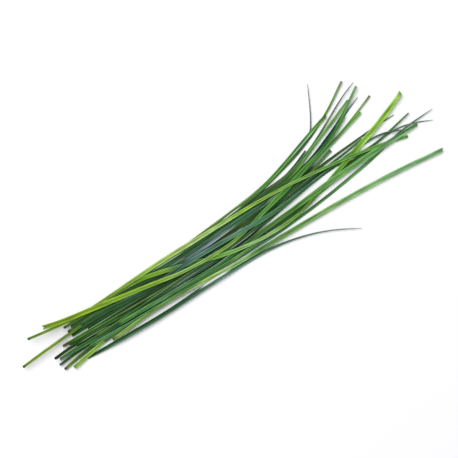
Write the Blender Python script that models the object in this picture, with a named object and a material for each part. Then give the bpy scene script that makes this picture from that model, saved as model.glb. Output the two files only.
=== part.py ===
"""Garlic chive bunch: cut leaves lying loose on their side, one solid for each leaf.

The paths were read by eye from the photo, in millimetres: x runs along the bunch from the butts to
the tips, y to the left of that as seen from above, z up. Each leaf is then laid on those beneath it.
"""

import math
from dataclasses import dataclass

import bmesh
import bpy
import numpy as np

MM = 0.001

# The section of a blade, in mm or as a share of its width.
RING_SPACING = 11.0
EDGE_THICKNESS = 0.62
THICKNESS_GAIN = 0.06
CHANNEL_DEPTH = 0.07
KEEL_HALF_WIDTH = 0.16
ROUND_END_LENGTH = 0.7
ROUND_END_WIDTH = 0.62
NOTCH_DEPTH = 1.3
SLANT = 0.45

# How the leaves are laid.
PATH_STEP = 0.5
PATH_SMOOTHING = 5.0
CELL = 0.35
CLEARANCE = 0.38
BENDING_LENGTH = 34.0
TWIST_STIFFNESS = 8.0
TILT_STIFFNESS = 2.0
MOST_TILT = 0.55
CONTACT_STIFFNESS = 4000.0
TILTING_SWEEPS = 6
SETTLING_SWEEPS = 4
SOLVER_STEPS = 30
FLAT_BELOW = 0.03
LEVEL_BELOW = 1e-4

# Base colours of the leaf kinds, linear RGB.
TINTS = {
    "lime": (0.27, 0.48, 0.03),
    "yellow": (0.38, 0.57, 0.08),
    "bright": (0.09, 0.32, 0.05),
    "light": (0.13, 0.36, 0.10),
    "blue": (0.07, 0.20, 0.10),
    "dark": (0.03, 0.10, 0.02),
    "dull": (0.08, 0.16, 0.04),
    "grey": (0.10, 0.16, 0.09),
}


@dataclass(frozen=True)
class Leaf:
    """One leaf: where it runs seen from above, how wide it is there and what it lies over."""

    name: str
    tint: str
    level: tuple
    path: tuple
    butt: str = "round"
    tip: str = "cut"
    roll: tuple = (0.0, 0.0, 0.0)
    lift: tuple = (0.0, 0.0)
    smoothing: float = PATH_SMOOTHING


# level: a number, or pairs of (x, number); of two leaves that cross, the higher number is on top.
# path: (x, y, width) from butt to tip. roll: degrees at butt, middle and tip. lift: how far the butt
# and the tip are held off the surface, in mm.
LEAVES = (
    Leaf("leaf_yellow_edge", "yellow", 90, (
        (-16.7, 15.4, 1.9), (-8, 14.1, 2.1), (2, 12.4, 2.1), (12, 11.2, 2.2), (24, 9.9, 2.2),
        (38, 10.0, 2.2), (52, 10.9, 2.2), (66, 11.3, 2.3), (82, 11.9, 2.5), (98, 12.3, 2.6),
        (114, 12.1, 2.7), (130, 12.1, 2.8), (146, 12.1, 2.8), (160, 12.0, 2.7), (172, 11.6, 2.4),
        (184, 11.0, 2.1), (196, 10.1, 2.0), (208, 8.9, 2.0), (220, 7.4, 2.1), (231, 5.9, 2.1),
        (241, 4.7, 2.1), (250, 2.9, 2.2), (258, 1.3, 2.2), (266, -0.3, 2.1), (275, -2.2, 2.3),
        (284.4, -5.1, 1.9)), tip="round", roll=(0, 8, -6), lift=(5.5, 0.6)),
    Leaf("leaf_lime_long", "lime", ((130, 100), (138, 72), (171, 72), (175, 84)), (
        (-3.2, 16.7, 3.1), (3, 14.9, 3.0), (11, 12.9, 3.1), (21, 11.4, 3.1), (31, 9.8, 3.2),
        (41, 8.0, 3.3), (51, 6.4, 3.2), (61, 4.8, 2.8), (71, 3.0, 2.7), (81, 1.1, 2.6),
        (91, -0.9, 2.5), (101, -2.4, 2.3), (111, -3.1, 2.1), (121, -3.7, 2.2), (131, -3.8, 2.3),
        (139, -3.4, 2.4), (146, -2.6, 2.2), (153, -1.2, 2.2), (160, 0.8, 2.3), (167, 2.8, 2.5),
        (175, 4.5, 2.8), (184, 6.4, 3.2), (193, 8.7, 3.3), (203, 11.7, 3.2), (212, 14.2, 3.4),
        (221, 16.6, 3.0), (230, 18.9, 2.8), (238, 21.8, 2.5), (245, 25.2, 2.4),
        (254.3, 30.9, 2.2)), butt="notched", tip="slanted", roll=(-8, 6, 4), lift=(4.0, 2.5)),
    Leaf("leaf_lime_sweep", "lime", 70, (
        (8.7, 8.7, 1.8), (20, 8.9, 2.0), (32, 9.2, 2.0), (44, 9.7, 2.1), (55, 10.0, 2.2),
        (63, 10.1, 2.3), (70, 9.7, 2.6), (77, 8.5, 2.9), (84, 6.7, 3.1), (91, 4.7, 3.0),
        (98, 3.0, 2.9), (105, 1.0, 2.8), (112, -1.5, 2.8), (119, -4.1, 2.8), (126, -6.1, 2.8),
        (133, -7.7, 2.7), (140, -9.2, 2.4), (148, -10.5, 2.3), (156, -11.6, 2.1),
        (165, -12.2, 2.1), (175, -12.4, 2.1), (185, -12.0, 2.3), (194, -10.4, 2.4),
        (203, -8.1, 2.5), (212, -5.1, 2.7), (221, -2.3, 2.8), (229, 0.0, 2.8), (237, 2.6, 2.9),
        (245, 5.3, 3.3), (254, 8.0, 3.6), (263, 10.7, 3.7), (272, 13.6, 3.6), (281, 16.9, 3.4),
        (289, 20.1, 3.4), (296.2, 23.5, 3.0)), tip="slanted", roll=(0, -8, 5), lift=(0, 6.0)),
    Leaf("leaf_blue_arc", "blue", ((205, 75), (225, 50)), (
        (20.3, 3.8, 3.4), (30, 4.1, 3.5), (40, 3.6, 3.5), (50, 2.2, 3.5), (60, 1.0, 3.3),
        (68, 0.3, 3.1), (76, 0.2, 3.0), (84, 0.5, 3.0), (92, 1.0, 3.0), (100, 1.5, 3.0),
        (110, 1.5, 3.1), (120, 1.4, 3.0), (130, 1.2, 3.0), (140, 0.8, 2.9), (150, 0.3, 3.1),
        (158, -0.3, 3.3), (166, -0.6, 3.3), (174, -0.8, 3.2), (182, -0.5, 3.0), (190, 0.4, 2.8),
        (198, 1.5, 2.5), (207, 2.5, 2.4), (217, 3.7, 2.2), (227, 4.8, 2.0), (237, 5.8, 1.9),
        (247, 6.6, 1.7), (256, 7.1, 1.7), (264, 7.4, 1.9), (271, 6.4, 1.8), (278, 4.1, 1.6),
        (283.5, 0.5, 1.0)), butt="cut", tip="round", roll=(6, -8, 0), lift=(0, 3.0)),
    Leaf("leaf_blue_wide", "blue", 60, (
        (13.2, 6.6, 2.5), (22, 7.0, 2.6), (32, 7.0, 2.8), (42, 7.2, 2.8), (52, 7.3, 2.5),
        (62, 7.1, 2.2), (72, 6.6, 2.4), (82, 5.9, 2.5), (92, 5.4, 2.6), (100, 5.1, 3.0),
        (110, 5.2, 3.9), (120, 5.5, 4.2), (130, 6.0, 4.2), (140, 6.9, 3.9), (150, 7.5, 3.8),
        (159, 7.7, 3.4), (168, 7.6, 3.0), (176, 7.8, 2.6), (185, 8.7, 2.3), (194, 10.0, 2.3),
        (204, 11.9, 2.3), (214, 14.1, 2.3), (224, 16.1, 2.7), (233, 18.2, 2.8), (242, 20.5, 2.4),
        (250, 22.7, 2.4), (258, 24.9, 2.6), (265.1, 26.9, 2.7)), roll=(0, 14, 4), lift=(0, 3.5)),
    Leaf("leaf_dull_inner", "dull", 56, (
        (9.4, 4.9, 1.3), (18, 5.4, 1.5), (30, 6.6, 1.8), (42, 8.0, 2.0), (54, 8.9, 2.2),
        (66, 9.2, 2.3), (78, 9.0, 2.4), (90, 8.7, 2.5), (100, 8.7, 2.6), (110, 8.9, 2.6),
        (120, 9.2, 2.5), (130, 9.4, 2.4), (140, 9.8, 2.3), (150, 10.5, 2.2), (160, 11.6, 2.1),
        (170, 12.7, 2.1), (180, 13.4, 2.0), (190, 13.7, 2.0), (199, 14.3, 2.0), (207, 16.2, 1.9),
        (215, 19.5, 1.8), (223, 23.5, 1.8), (231, 26.6, 2.1), (239, 29.4, 2.5), (247, 32.5, 2.6),
        (255, 35.8, 2.3), (262.2, 38.6, 2.2)), roll=(0, 10, -4), lift=(0, 2.5)),
    Leaf("leaf_dark_base", "dark", 40, (
        (10.2, 1.5, 3.0), (20, 1.2, 2.9), (30, 1.3, 2.6), (40, 1.0, 2.3), (50, 0.3, 2.2),
        (60, -0.2, 2.2), (70, -0.6, 2.1), (80, -1.2, 2.0), (90, -1.7, 2.0), (100, -1.7, 2.0),
        (110, -1.2, 2.1), (120, -0.8, 2.2), (130, -0.8, 2.2), (140, -0.5, 2.1), (149, 0.3, 2.0),
        (157, 1.6, 2.0), (165, 3.1, 2.0), (173, 4.5, 2.0), (181, 5.8, 2.0), (189, 7.3, 1.9),
        (197, 9.1, 1.9), (205, 11.1, 2.0), (213, 13.1, 2.1), (221, 15.0, 2.0), (229, 16.9, 1.9),
        (237, 19.1, 1.8), (245, 21.6, 1.8), (253, 24.4, 1.7), (261, 27.1, 1.6), (269, 30.1, 1.5),
        (276.8, 33.3, 1.4)), butt="cut", lift=(0, 3.5)),
    Leaf("leaf_brown_butt", "dark", 38, (
        (0.9, -1.8, 2.0), (10, -1.9, 2.2), (20, -2.0, 1.9), (30, -2.0, 1.7), (40, -2.0, 1.6),
        (50, -2.0, 1.6), (60, -2.1, 1.7), (70, -2.2, 1.7), (80, -2.7, 1.8), (90, -3.4, 1.8),
        (100, -4.0, 1.9), (110, -4.1, 1.9), (120, -3.5, 1.9), (130, -2.9, 1.8), (140, -2.2, 1.8),
        (150, -1.0, 1.8), (160, 0.5, 1.8), (170, 2.1, 1.8), (179, 3.5, 1.8), (188, 4.9, 1.8),
        (197, 6.1, 1.9), (206, 7.4, 1.9), (214, 8.7, 2.0), (222, 9.7, 2.0), (231, 10.4, 2.0),
        (240, 10.9, 1.8), (250, 11.6, 1.6), (259, 12.2, 1.3), (267, 12.8, 1.1), (276, 13.1, 1.0),
        (284.3, 12.9, 0.8)), tip="fine", roll=(0, 8, 0), lift=(1.5, 2.0)),
    Leaf("leaf_dark_crossing", "dark", ((235, 45), (250, 62)), (
        (84, 7.4, 1.7), (95, 7.6, 2.0), (107, 7.7, 2.2), (120, 7.9, 2.2), (135, 8.3, 2.2),
        (150, 8.9, 2.2), (165, 9.7, 2.2), (178, 10.6, 2.2),
        (190, 11.8, 2.3), (200, 13.4, 2.4), (210, 15.1, 2.4), (219, 17.3, 2.5), (228, 20.5, 2.7),
        (237, 24.3, 2.8), (245, 27.4, 2.6), (252, 30.5, 2.4), (259, 35.2, 2.4), (265, 39.3, 2.3),
        (272.1, 43.9, 2.3)), roll=(0, -10, -12), lift=(0, 5.5)),
    Leaf("leaf_small_green", "bright", 42, (
        (5.4, -3.2, 1.6), (14, -3.3, 1.7), (24, -3.6, 1.8), (34, -3.9, 1.8), (44, -4.2, 1.8),
        (54, -4.5, 1.7), (64, -4.8, 1.7), (74, -5.1, 1.7), (84, -5.4, 1.7), (94, -5.7, 1.7),
        (104, -6.3, 1.7), (114, -6.9, 1.7), (124, -7.7, 1.7), (136, -8.8, 1.7), (148, -9.3, 1.7),
        (160, -9.5, 1.7), (172, -9.4, 1.7), (184, -9.2, 1.6), (195, -8.2, 1.6), (205, -6.7, 1.5),
        (215, -5.2, 1.5), (225, -3.9, 1.4), (235, -2.4, 1.4), (245, -0.6, 1.3), (253, 1.0, 1.2),
        (260, 2.3, 1.1), (267, 3.3, 1.0), (274, 4.1, 1.1), (281, 4.1, 1.0), (287, 3.1, 1.0),
        (292, 1.5, 1.0), (298, -1.2, 0.9), (305.5, -4.7, 0.8)), tip="fine", roll=(0, 6, 0),
        lift=(0, 2.0)),
    Leaf("leaf_near_black", "dark", 44, (
        (-8.0, -6.3, 2.0), (0, -5.6, 2.4), (10, -5.2, 2.3), (20, -5.2, 2.2), (30, -5.5, 2.1),
        (40, -6.3, 1.9), (50, -6.8, 1.9), (60, -7.4, 1.9), (70, -8.0, 1.9), (80, -8.4, 1.9),
        (90, -8.2, 2.0), (100, -7.6, 2.1), (110, -7.8, 2.2), (120, -8.1, 2.2), (130, -7.7, 2.1),
        (140, -7.2, 2.2), (150, -6.1, 2.2), (160, -4.7, 2.0), (170, -3.4, 1.7), (180, -1.8, 1.7),
        (190, -0.2, 1.7), (200, 1.3, 1.7), (210, 2.7, 1.7), (220, 3.8, 1.7), (229, 4.4, 1.6),
        (237, 4.0, 1.6), (245, 2.9, 1.6), (252, 2.1, 1.6), (260, 2.1, 1.5), (268, 2.9, 1.5),
        (276, 4.8, 1.6), (285, 6.8, 1.3), (293.6, 8.5, 1.1)), tip="round", roll=(0, 12, 0),
        lift=(2.5, 4.0)),
    Leaf("leaf_green_mid", "bright", 46, (
        (24.3, -8.0, 1.8), (32, -8.3, 1.9), (41, -8.3, 1.9), (50, -8.0, 1.8), (60, -7.3, 1.7),
        (70, -7.0, 1.7), (80, -6.7, 1.8), (90, -6.0, 1.8), (100, -5.5, 1.9), (110, -5.3, 1.9),
        (120, -5.6, 1.9), (130, -5.6, 1.9), (140, -5.7, 1.9), (150, -4.6, 2.0), (160, -3.4, 2.3),
        (168, -2.2, 2.3), (176, -0.5, 2.0), (184, 1.4, 1.8), (192, 3.2, 1.9), (200, 4.5, 2.0),
        (208, 5.6, 1.9), (217, 6.3, 1.9), (227, 7.1, 1.8), (236, 7.9, 1.8), (245, 8.9, 1.8),
        (255.8, 10.7, 1.9)), roll=(0, -10, 6)),
    Leaf("leaf_light_wide", "light", ((178, 60), (188, 95)), (
        (42.3, -9.4, 2.2), (51, -9.6, 2.4), (61, -9.8, 2.5), (71, -10.2, 2.5), (81, -10.5, 2.4),
        (91, -10.6, 2.3), (101, -10.8, 2.2), (111, -11.0, 2.0), (121, -11.2, 1.9),
        (131, -10.8, 2.0), (140, -9.6, 2.5), (150, -8.6, 2.7), (160, -7.7, 2.9), (170, -7.1, 2.9),
        (180, -6.5, 3.0), (190, -5.8, 3.2), (200, -5.1, 3.3), (210, -4.2, 3.4), (220, -3.3, 3.8),
        (230, -2.9, 3.7), (240, -2.5, 3.8), (250, -2.2, 3.8), (259, -1.9, 3.7), (267, -1.8, 3.4),
        (275, -1.4, 3.3), (285, -1.4, 2.6), (294.6, -1.2, 1.9)), tip="round", roll=(0, 5, -4),
        lift=(0, 1.0)),
    Leaf("leaf_pale_butt", "light", 34, (
        (-5.2, -8.7, 2.3), (5, -8.5, 3.0), (15, -8.5, 3.1), (25, -8.9, 2.7), (35, -9.6, 2.1),
        (45, -9.9, 2.0), (60, -10.4, 1.9), (75, -10.9, 1.9), (90, -11.3, 2.0), (105, -11.5, 2.0),
        (120, -11.6, 2.0), (135, -11.8, 1.9), (150, -12.0, 1.7), (165, -12.2, 1.5)),
        butt="cut", lift=(3.0, 0)),
    Leaf("leaf_grey_butt", "dark", 24, (
        (-7.9, -11.9, 1.8), (0, -11.0, 1.8), (8, -10.6, 1.8), (18, -10.5, 1.8), (32, -10.8, 1.7),
        (46, -11.1, 1.7), (60, -11.5, 1.7), (76, -12.0, 1.7), (92, -12.3, 1.7), (108, -12.4, 1.6),
        (124, -12.4, 1.4)), lift=(1.2, 0)),
    Leaf("leaf_olive_butt", "dull", 22, (
        (-6.6, -16.3, 1.9), (0, -14.9, 2.3), (6, -14.0, 2.6), (12, -13.3, 3.0), (20, -12.8, 2.7),
        (30, -12.8, 1.9), (42, -13.2, 1.7), (56, -13.7, 1.7), (70, -14.1, 1.7), (85, -14.4, 1.6),
        (98, -14.8, 1.4)), lift=(1.0, 0)),
    Leaf("leaf_green_low", "light", 36, (
        (17.2, -11.9, 2.2), (26, -12.1, 2.4), (36, -12.6, 2.3), (46, -13.0, 2.2), (56, -13.4, 2.2),
        (68, -13.8, 2.2), (82, -14.0, 2.2), (96, -13.9, 2.2), (110, -13.4, 2.2),
        (124, -13.8, 2.2), (138, -13.7, 2.1), (150, -13.1, 2.0), (162, -12.5, 1.9),
        (173, -11.7, 1.8), (184, -10.6, 1.8), (195, -8.8, 1.8), (206, -6.7, 1.7),
        (218, -5.0, 1.6), (231, -3.6, 1.5), (245, -2.8, 1.3)), roll=(0, 8, 0)),
    Leaf("leaf_dark_low", "dark", 37, (
        (27.6, -14.0, 1.6), (38, -14.2, 1.8), (50, -14.1, 1.8), (62, -14.0, 1.8),
        (76, -14.0, 1.8), (90, -14.2, 1.7), (104, -14.5, 1.5)), butt="cut"),
    Leaf("leaf_lime_to_fine", "lime", ((240, 30), (282, 50)), (
        (0.0, -18.8, 2.5), (8, -17.3, 2.9), (15, -16.1, 2.9), (21, -15.0, 2.5), (27, -14.1, 2.3),
        (35, -13.7, 2.1), (46, -13.4, 2.0), (60, -13.2, 2.0), (80, -13.4, 2.0), (100, -13.5, 2.0),
        (120, -13.9, 2.3), (140, -14.2, 2.3), (155, -14.2, 2.3), (168, -14.1, 2.3),
        (180, -13.6, 2.0), (190, -13.1, 1.8), (200, -12.3, 1.7), (210, -11.4, 1.7),
        (220, -10.3, 1.8), (230, -9.0, 2.1), (240, -7.6, 2.2), (250, -6.1, 2.2), (258, -4.8, 2.1),
        (266, -3.1, 1.8), (273, -1.0, 1.5), (280, 0.5, 1.4), (287, 1.4, 1.2), (298, 1.7, 1.0),
        (309.3, 2.1, 0.9)), butt="cut", tip="fine", lift=(2.0, 1.5)),
    Leaf("leaf_light_lower", "light", 48, (
        (33.2, -16.4, 2.2), (41, -16.0, 2.6), (50, -15.4, 2.4), (60, -14.6, 2.1), (70, -14.3, 2.1),
        (80, -14.4, 2.2), (90, -14.7, 2.2), (100, -15.1, 2.2), (110, -15.6, 2.3),
        (120, -16.4, 2.5), (130, -17.0, 2.6), (140, -17.4, 2.7), (152, -17.5, 3.1),
        (165, -17.8, 3.2), (180, -18.1, 3.2), (195, -18.4, 3.2), (210, -18.8, 3.2),
        (225, -19.4, 3.2), (240, -20.2, 3.1), (255, -21.2, 3.1), (270, -22.5, 3.1),
        (285, -24.2, 2.8), (300, -26.1, 2.9)), butt="cut", tip="slanted", roll=(0, 6, -5)),
    Leaf("leaf_lower_hair", "dark", 20, (
        (11, -18.1, 1.4), (20, -18.5, 2.4), (32, -19.1, 2.9), (45, -19.6, 3.1), (60, -20.2, 3.2),
        (75, -20.4, 3.1), (90, -20.1, 3.2), (100, -19.7, 3.5), (110, -19.2, 3.9),
        (120, -19.2, 3.7), (130, -19.5, 3.2), (141, -19.9, 2.7), (152, -20.1, 2.4),
        (162, -20.9, 2.1), (172, -22.6, 1.5), (182, -24.7, 1.2), (192, -27.7, 1.0),
        (202, -31.4, 0.8), (210, -35.4, 0.8), (217, -39.2, 0.7), (223, -42.8, 0.7)),
        tip="fine"),
    Leaf("leaf_upper_edge", "bright", 54, (
        (70, 10.8, 1.6), (86, 11.2, 1.8), (100, 11.8, 2.0),
        (112, 12.4, 2.1), (122, 13.1, 2.2), (132, 13.8, 2.3), (142, 14.6, 2.3), (152, 15.4, 2.3),
        (162, 16.3, 2.3), (172, 17.3, 2.3), (182, 19.0, 2.3), (191, 21.4, 2.3), (200, 24.2, 2.3),
        (209, 27.1, 2.3), (218, 30.1, 2.4), (227, 33.0, 2.5), (235, 35.4, 2.4),
        (243.2, 37.8, 2.2)), tip="slanted", roll=(0, 8, -8), lift=(0, 1.5)),
    Leaf("leaf_kinked_hair", "grey", 50, (
        (100, 11.1, 1.4), (115, 11.8, 1.7), (128, 12.6, 1.8), (140, 13.5, 1.8), (152, 14.5, 1.8),
        (163, 15.5, 1.7), (173, 16.7, 1.7),
        (183, 18.6, 1.6), (192, 20.9, 1.5), (201, 23.1, 1.4), (210, 25.6, 1.3), (218, 28.4, 1.2),
        (225, 31.4, 1.1), (229.3, 34.7, 1.0), (232.8, 40.6, 0.9), (236.8, 48.6, 0.9),
        (240.8, 56.6, 0.8), (243.9, 63.4, 0.6)), tip="fine", lift=(0, 5.0), smoothing=2.0),
    Leaf("leaf_upper_second", "bright", 47, (
        (108, 10.1, 1.4), (120, 10.9, 1.6), (135, 12.1, 1.8),
        (148, 13.3, 1.8), (160, 14.5, 1.8), (171, 15.9, 1.7), (181, 17.7, 1.6), (190, 20.2, 1.6),
        (200, 22.2, 1.8), (210, 24.8, 1.9), (219, 27.9, 2.0), (228, 31.4, 1.9), (236, 35.0, 1.5),
        (243, 38.0, 1.6), (250, 42.1, 1.7), (257, 46.9, 1.7), (265.4, 52.3, 1.8)),
        lift=(0, 4.0)),
    Leaf("leaf_curved_tip", "dull", 44, (
        (112, 8.9, 1.4), (125, 9.9, 1.7), (138, 11.2, 1.8),
        (150, 12.4, 1.8), (161, 13.5, 1.8), (171, 14.3, 1.8), (181, 14.8, 1.8), (191, 15.3, 1.8),
        (201, 16.5, 1.8), (210, 19.2, 1.9), (219, 22.4, 1.6), (227, 26.1, 1.4), (233, 29.0, 1.3),
        (239, 32.2, 1.2), (245, 35.1, 1.1), (252, 39.1, 1.0), (260, 43.1, 0.9), (266, 45.4, 0.8),
        (272.1, 47.4, 0.7)), tip="fine", lift=(0, 5.0)),
    Leaf("leaf_short_tip", "dark", 43, (
        (128, 10.6, 1.3), (139, 11.9, 1.5), (152, 13.3, 1.7),
        (164, 14.6, 1.7), (175, 15.6, 1.7), (185, 15.9, 1.6), (194, 15.9, 1.6), (202, 17.2, 1.5),
        (210, 21.1, 1.4), (218.2, 24.5, 1.2)), tip="round", lift=(0, 3.0)),
    Leaf("leaf_dark_fine", "dark", 26, (
        (70, 6.1, 1.5), (85, 5.6, 1.7), (100, 5.2, 1.8),
        (115, 5.2, 1.9), (130, 5.5, 1.9), (145, 5.9, 2.3), (160, 6.7, 2.3), (172, 7.9, 1.9),
        (183, 9.1, 1.9), (193, 10.7, 1.9), (203, 12.9, 1.9), (212, 15.2, 1.9), (221, 17.9, 1.8),
        (230, 20.7, 1.7), (238, 23.3, 1.6), (246, 26.9, 1.4), (253, 30.4, 1.2), (260, 33.6, 1.1),
        (265, 35.5, 0.9), (269.2, 37.0, 0.7)), tip="fine", lift=(0, 2.0)),
    Leaf("leaf_far_butt", "dull", ((30, 45), (60, 32)), (
        (-30.2, 0.5, 1.9), (-20, 1.3, 2.1), (-10, 2.0, 2.1), (0, 2.6, 2.2), (10, 3.2, 2.1),
        (20, 3.7, 2.1), (34, 4.4, 2.1), (48, 5.0, 2.1), (60, 5.1, 2.1), (72, 4.5, 2.6),
        (84, 3.6, 2.8), (96, 3.0, 2.6), (108, 2.9, 2.1), (120, 3.1, 2.1), (132, 3.5, 2.2),
        (142, 3.7, 2.6), (152, 3.8, 2.8), (161, 4.1, 2.7), (170, 4.7, 2.5), (179, 5.3, 2.0),
        (188, 6.0, 2.0), (197, 7.0, 2.0), (205, 8.4, 2.0), (212, 10.0, 2.1), (219, 11.6, 2.6),
        (226, 13.2, 2.6), (233.4, 15.2, 2.4)), lift=(5.0, 1.5)),
    Leaf("leaf_inner_upper", "dark", 18, (
        (22, -2.7, 1.8), (35, -2.8, 2.2), (50, -2.9, 2.3), (65, -3.1, 2.3), (80, -3.7, 2.3),
        (95, -4.6, 2.3), (110, -5.8, 2.3), (125, -6.4, 2.3), (140, -5.4, 2.2), (153, -3.0, 2.1),
        (164, -0.6, 2.0), (175, 1.3, 1.9), (186, 2.6, 1.8), (198, 3.6, 1.8), (210, 4.6, 1.8),
        (222, 5.6, 1.6), (232, 5.6, 1.3)), butt="cut"),
    Leaf("leaf_inner_lower", "dark", 16, (
        (9, -7.0, 1.5), (18, -6.9, 1.8), (30, -6.3, 2.0), (45, -5.8, 2.2), (60, -5.8, 2.3),
        (75, -6.3, 2.3), (90, -7.6, 2.3),
        (105, -8.7, 2.3), (120, -9.3, 2.3), (135, -9.6, 2.2), (150, -9.8, 2.1), (165, -9.7, 2.0),
        (180, -9.0, 1.9), (195, -7.3, 1.8), (210, -5.2, 1.6)), butt="cut"),
    Leaf("leaf_inner_middle", "dark", 14, (
        (22, -0.5, 1.5), (35, -0.4, 1.8), (50, -0.5, 2.0), (65, -0.5, 2.1), (80, -0.2, 2.2),
        (95, 0.0, 2.2), (105, 0.0, 2.2), (115, 0.2, 2.2), (125, 0.6, 2.1), (135, 1.4, 2.1),
        (145, 2.7, 2.1), (155, 4.4, 2.0), (165, 5.9, 2.0), (174, 6.8, 1.9), (184, 7.5, 1.9),
        (194, 8.4, 1.9), (203, 9.9, 1.9), (211, 11.2, 1.9), (219, 12.1, 1.8), (226, 12.7, 1.6)),
        butt="cut"),
    Leaf("leaf_inner_far", "dark", 17, (
        (172, -11.5, 1.6), (185, -10.9, 1.9), (194, -9.5, 2.0), (203, -7.5, 2.0),
        (212, -5.0, 2.1), (221, -2.4, 2.2), (230, -0.5, 2.3), (238, 0.7, 2.4), (246, 1.2, 2.4),
        (254, 0.7, 2.2), (262, -0.6, 2.0), (270, -1.9, 1.6)), butt="cut"),
)


def smooth_path(leaf):
    """Return the leaf's line as an even, softened run of x, y, width and length along it."""
    points = np.array(leaf.path, dtype=float)
    steps = np.hypot(np.diff(points[:, 0]), np.diff(points[:, 1]))
    along = np.concatenate(([0.0], np.cumsum(steps)))
    count = int(along[-1] / PATH_STEP) + 1
    even = np.linspace(0.0, along[-1], count)
    line = np.column_stack([np.interp(even, along, points[:, i]) for i in range(3)])
    reach = int(3 * leaf.smoothing / PATH_STEP)
    offsets = np.arange(-reach, reach + 1) * PATH_STEP
    kernel = np.exp(-0.5 * (offsets / leaf.smoothing) ** 2)
    kernel /= kernel.sum()
    # Past each end the line goes on as its own point reflection, so the ends stay where they are.
    before = 2 * line[0] - line[reach:0:-1]
    after = 2 * line[-1] - line[-2:-reach - 2:-1]
    padded = np.vstack([before, line, after])
    soft = np.column_stack([np.convolve(padded[:, i], kernel, mode="valid") for i in range(3)])
    return soft, even


def blade_section(width):
    """Return the seven points across a blade of this width: four below, three above, (u, v)."""
    half = 0.5 * width
    middle = EDGE_THICKNESS + THICKNESS_GAIN * max(width - 1.0, 0.0)
    rise = middle + CHANNEL_DEPTH * width
    keel = KEEL_HALF_WIDTH * width
    foot = rise - EDGE_THICKNESS
    return np.array([(half, foot), (keel, 0.0), (-keel, 0.0), (-half, foot),
                     (-half, rise), (0.0, middle), (half, rise)])


def ring_places(leaf, length):
    """Return (distance, width factor, along) for each ring: even spans and an extra one at a round end."""
    spans = max(int(round(length / RING_SPACING)), 4)
    places = [(length * i / spans, 1.0) for i in range(spans + 1)]
    if leaf.butt == "round":
        places[0] = (0.0, ROUND_END_WIDTH)
        places.insert(1, (ROUND_END_LENGTH, 1.0))
    if leaf.tip == "round":
        places[-1] = (length, ROUND_END_WIDTH)
        places.insert(-1, (length - ROUND_END_LENGTH, 1.0))
    return places, spans


def own_tilt(leaf, spans):
    """Return the tilt the leaf would have by itself, in radians, at the end of each span."""
    return np.radians(np.interp(np.linspace(0.0, 1.0, spans + 1), (0.0, 0.5, 1.0), leaf.roll))


def flat_rings(leaf, tilt=None):
    """Return the rings with heights from the leaf's own keel, their places in spans and the spans.

    Each point of a ring is x, y, height and its distance across from the leaf's middle.
    """
    line, even = smooth_path(leaf)
    tangent = np.gradient(line[:, :2], axis=0)
    tangent /= np.hypot(tangent[:, 0], tangent[:, 1])[:, None]
    length = even[-1]
    places, spans = ring_places(leaf, length)
    if tilt is None:
        tilt = own_tilt(leaf, spans)
    rings = []
    for number, (distance, factor) in enumerate(places):
        x, y, width = (np.interp(distance, even, line[:, i]) for i in range(3))
        tx, ty = (np.interp(distance, even, tangent[:, i]) for i in range(2))
        section = blade_section(width)
        roll = np.interp(distance / length * spans, np.arange(spans + 1), tilt)
        # The width in the path is the width as seen from above, so a tilted blade is wider.
        section[:, 0] *= factor / math.cos(roll)
        centre = 0.5 * section[5, 1]
        u = section[:, 0] * math.cos(roll) - (section[:, 1] - centre) * math.sin(roll)
        v = section[:, 0] * math.sin(roll) + (section[:, 1] - centre) * math.cos(roll) + centre
        shift = np.zeros(7)
        if number == len(places) - 1 and leaf.tip == "slanted":
            shift = SLANT * section[:, 0]
        if number == 0 and leaf.butt == "notched":
            shift = NOTCH_DEPTH * (1.0 - np.abs(section[:, 0]) / (0.5 * width))
        rings.append(np.column_stack([x - ty * u + tx * shift, y + tx * u + ty * shift, v, u]))
    return np.array(rings), np.array([place[0] / length * spans for place in places]), spans


def level_at(leaf, x):
    """Return the leaf's level at places x."""
    if isinstance(leaf.level, (int, float)):
        return np.full(np.shape(x), float(leaf.level))
    stops = np.array(leaf.level, dtype=float)
    return np.interp(x, stops[:, 0], stops[:, 1])


def spread(rings, where, columns, step_along, step_across):
    """Return points over one face of the leaf, and for each one its place along the leaf."""
    pieces = []
    places = []
    for ring, after, start, end in zip(rings[:-1], rings[1:], where[:-1], where[1:]):
        size = np.linalg.norm(after[:, :2].mean(axis=0) - ring[:, :2].mean(axis=0))
        count = max(int(math.ceil(size / step_along)), 1)
        share = np.linspace(0.0, 1.0, count + 1)[:, None]
        for left, right in zip(columns[:-1], columns[1:]):
            near = ring[left] + (after[left] - ring[left]) * share
            far = ring[right] + (after[right] - ring[right]) * share
            lanes = max(int(math.ceil(np.linalg.norm(ring[right] - ring[left]) / step_across)), 1)
            for lane in range(lanes + 1):
                pieces.append(near + (far - near) * lane / lanes)
                places.append((start + (end - start) * share)[:, 0])
    return np.vstack(pieces), np.concatenate(places)


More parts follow.
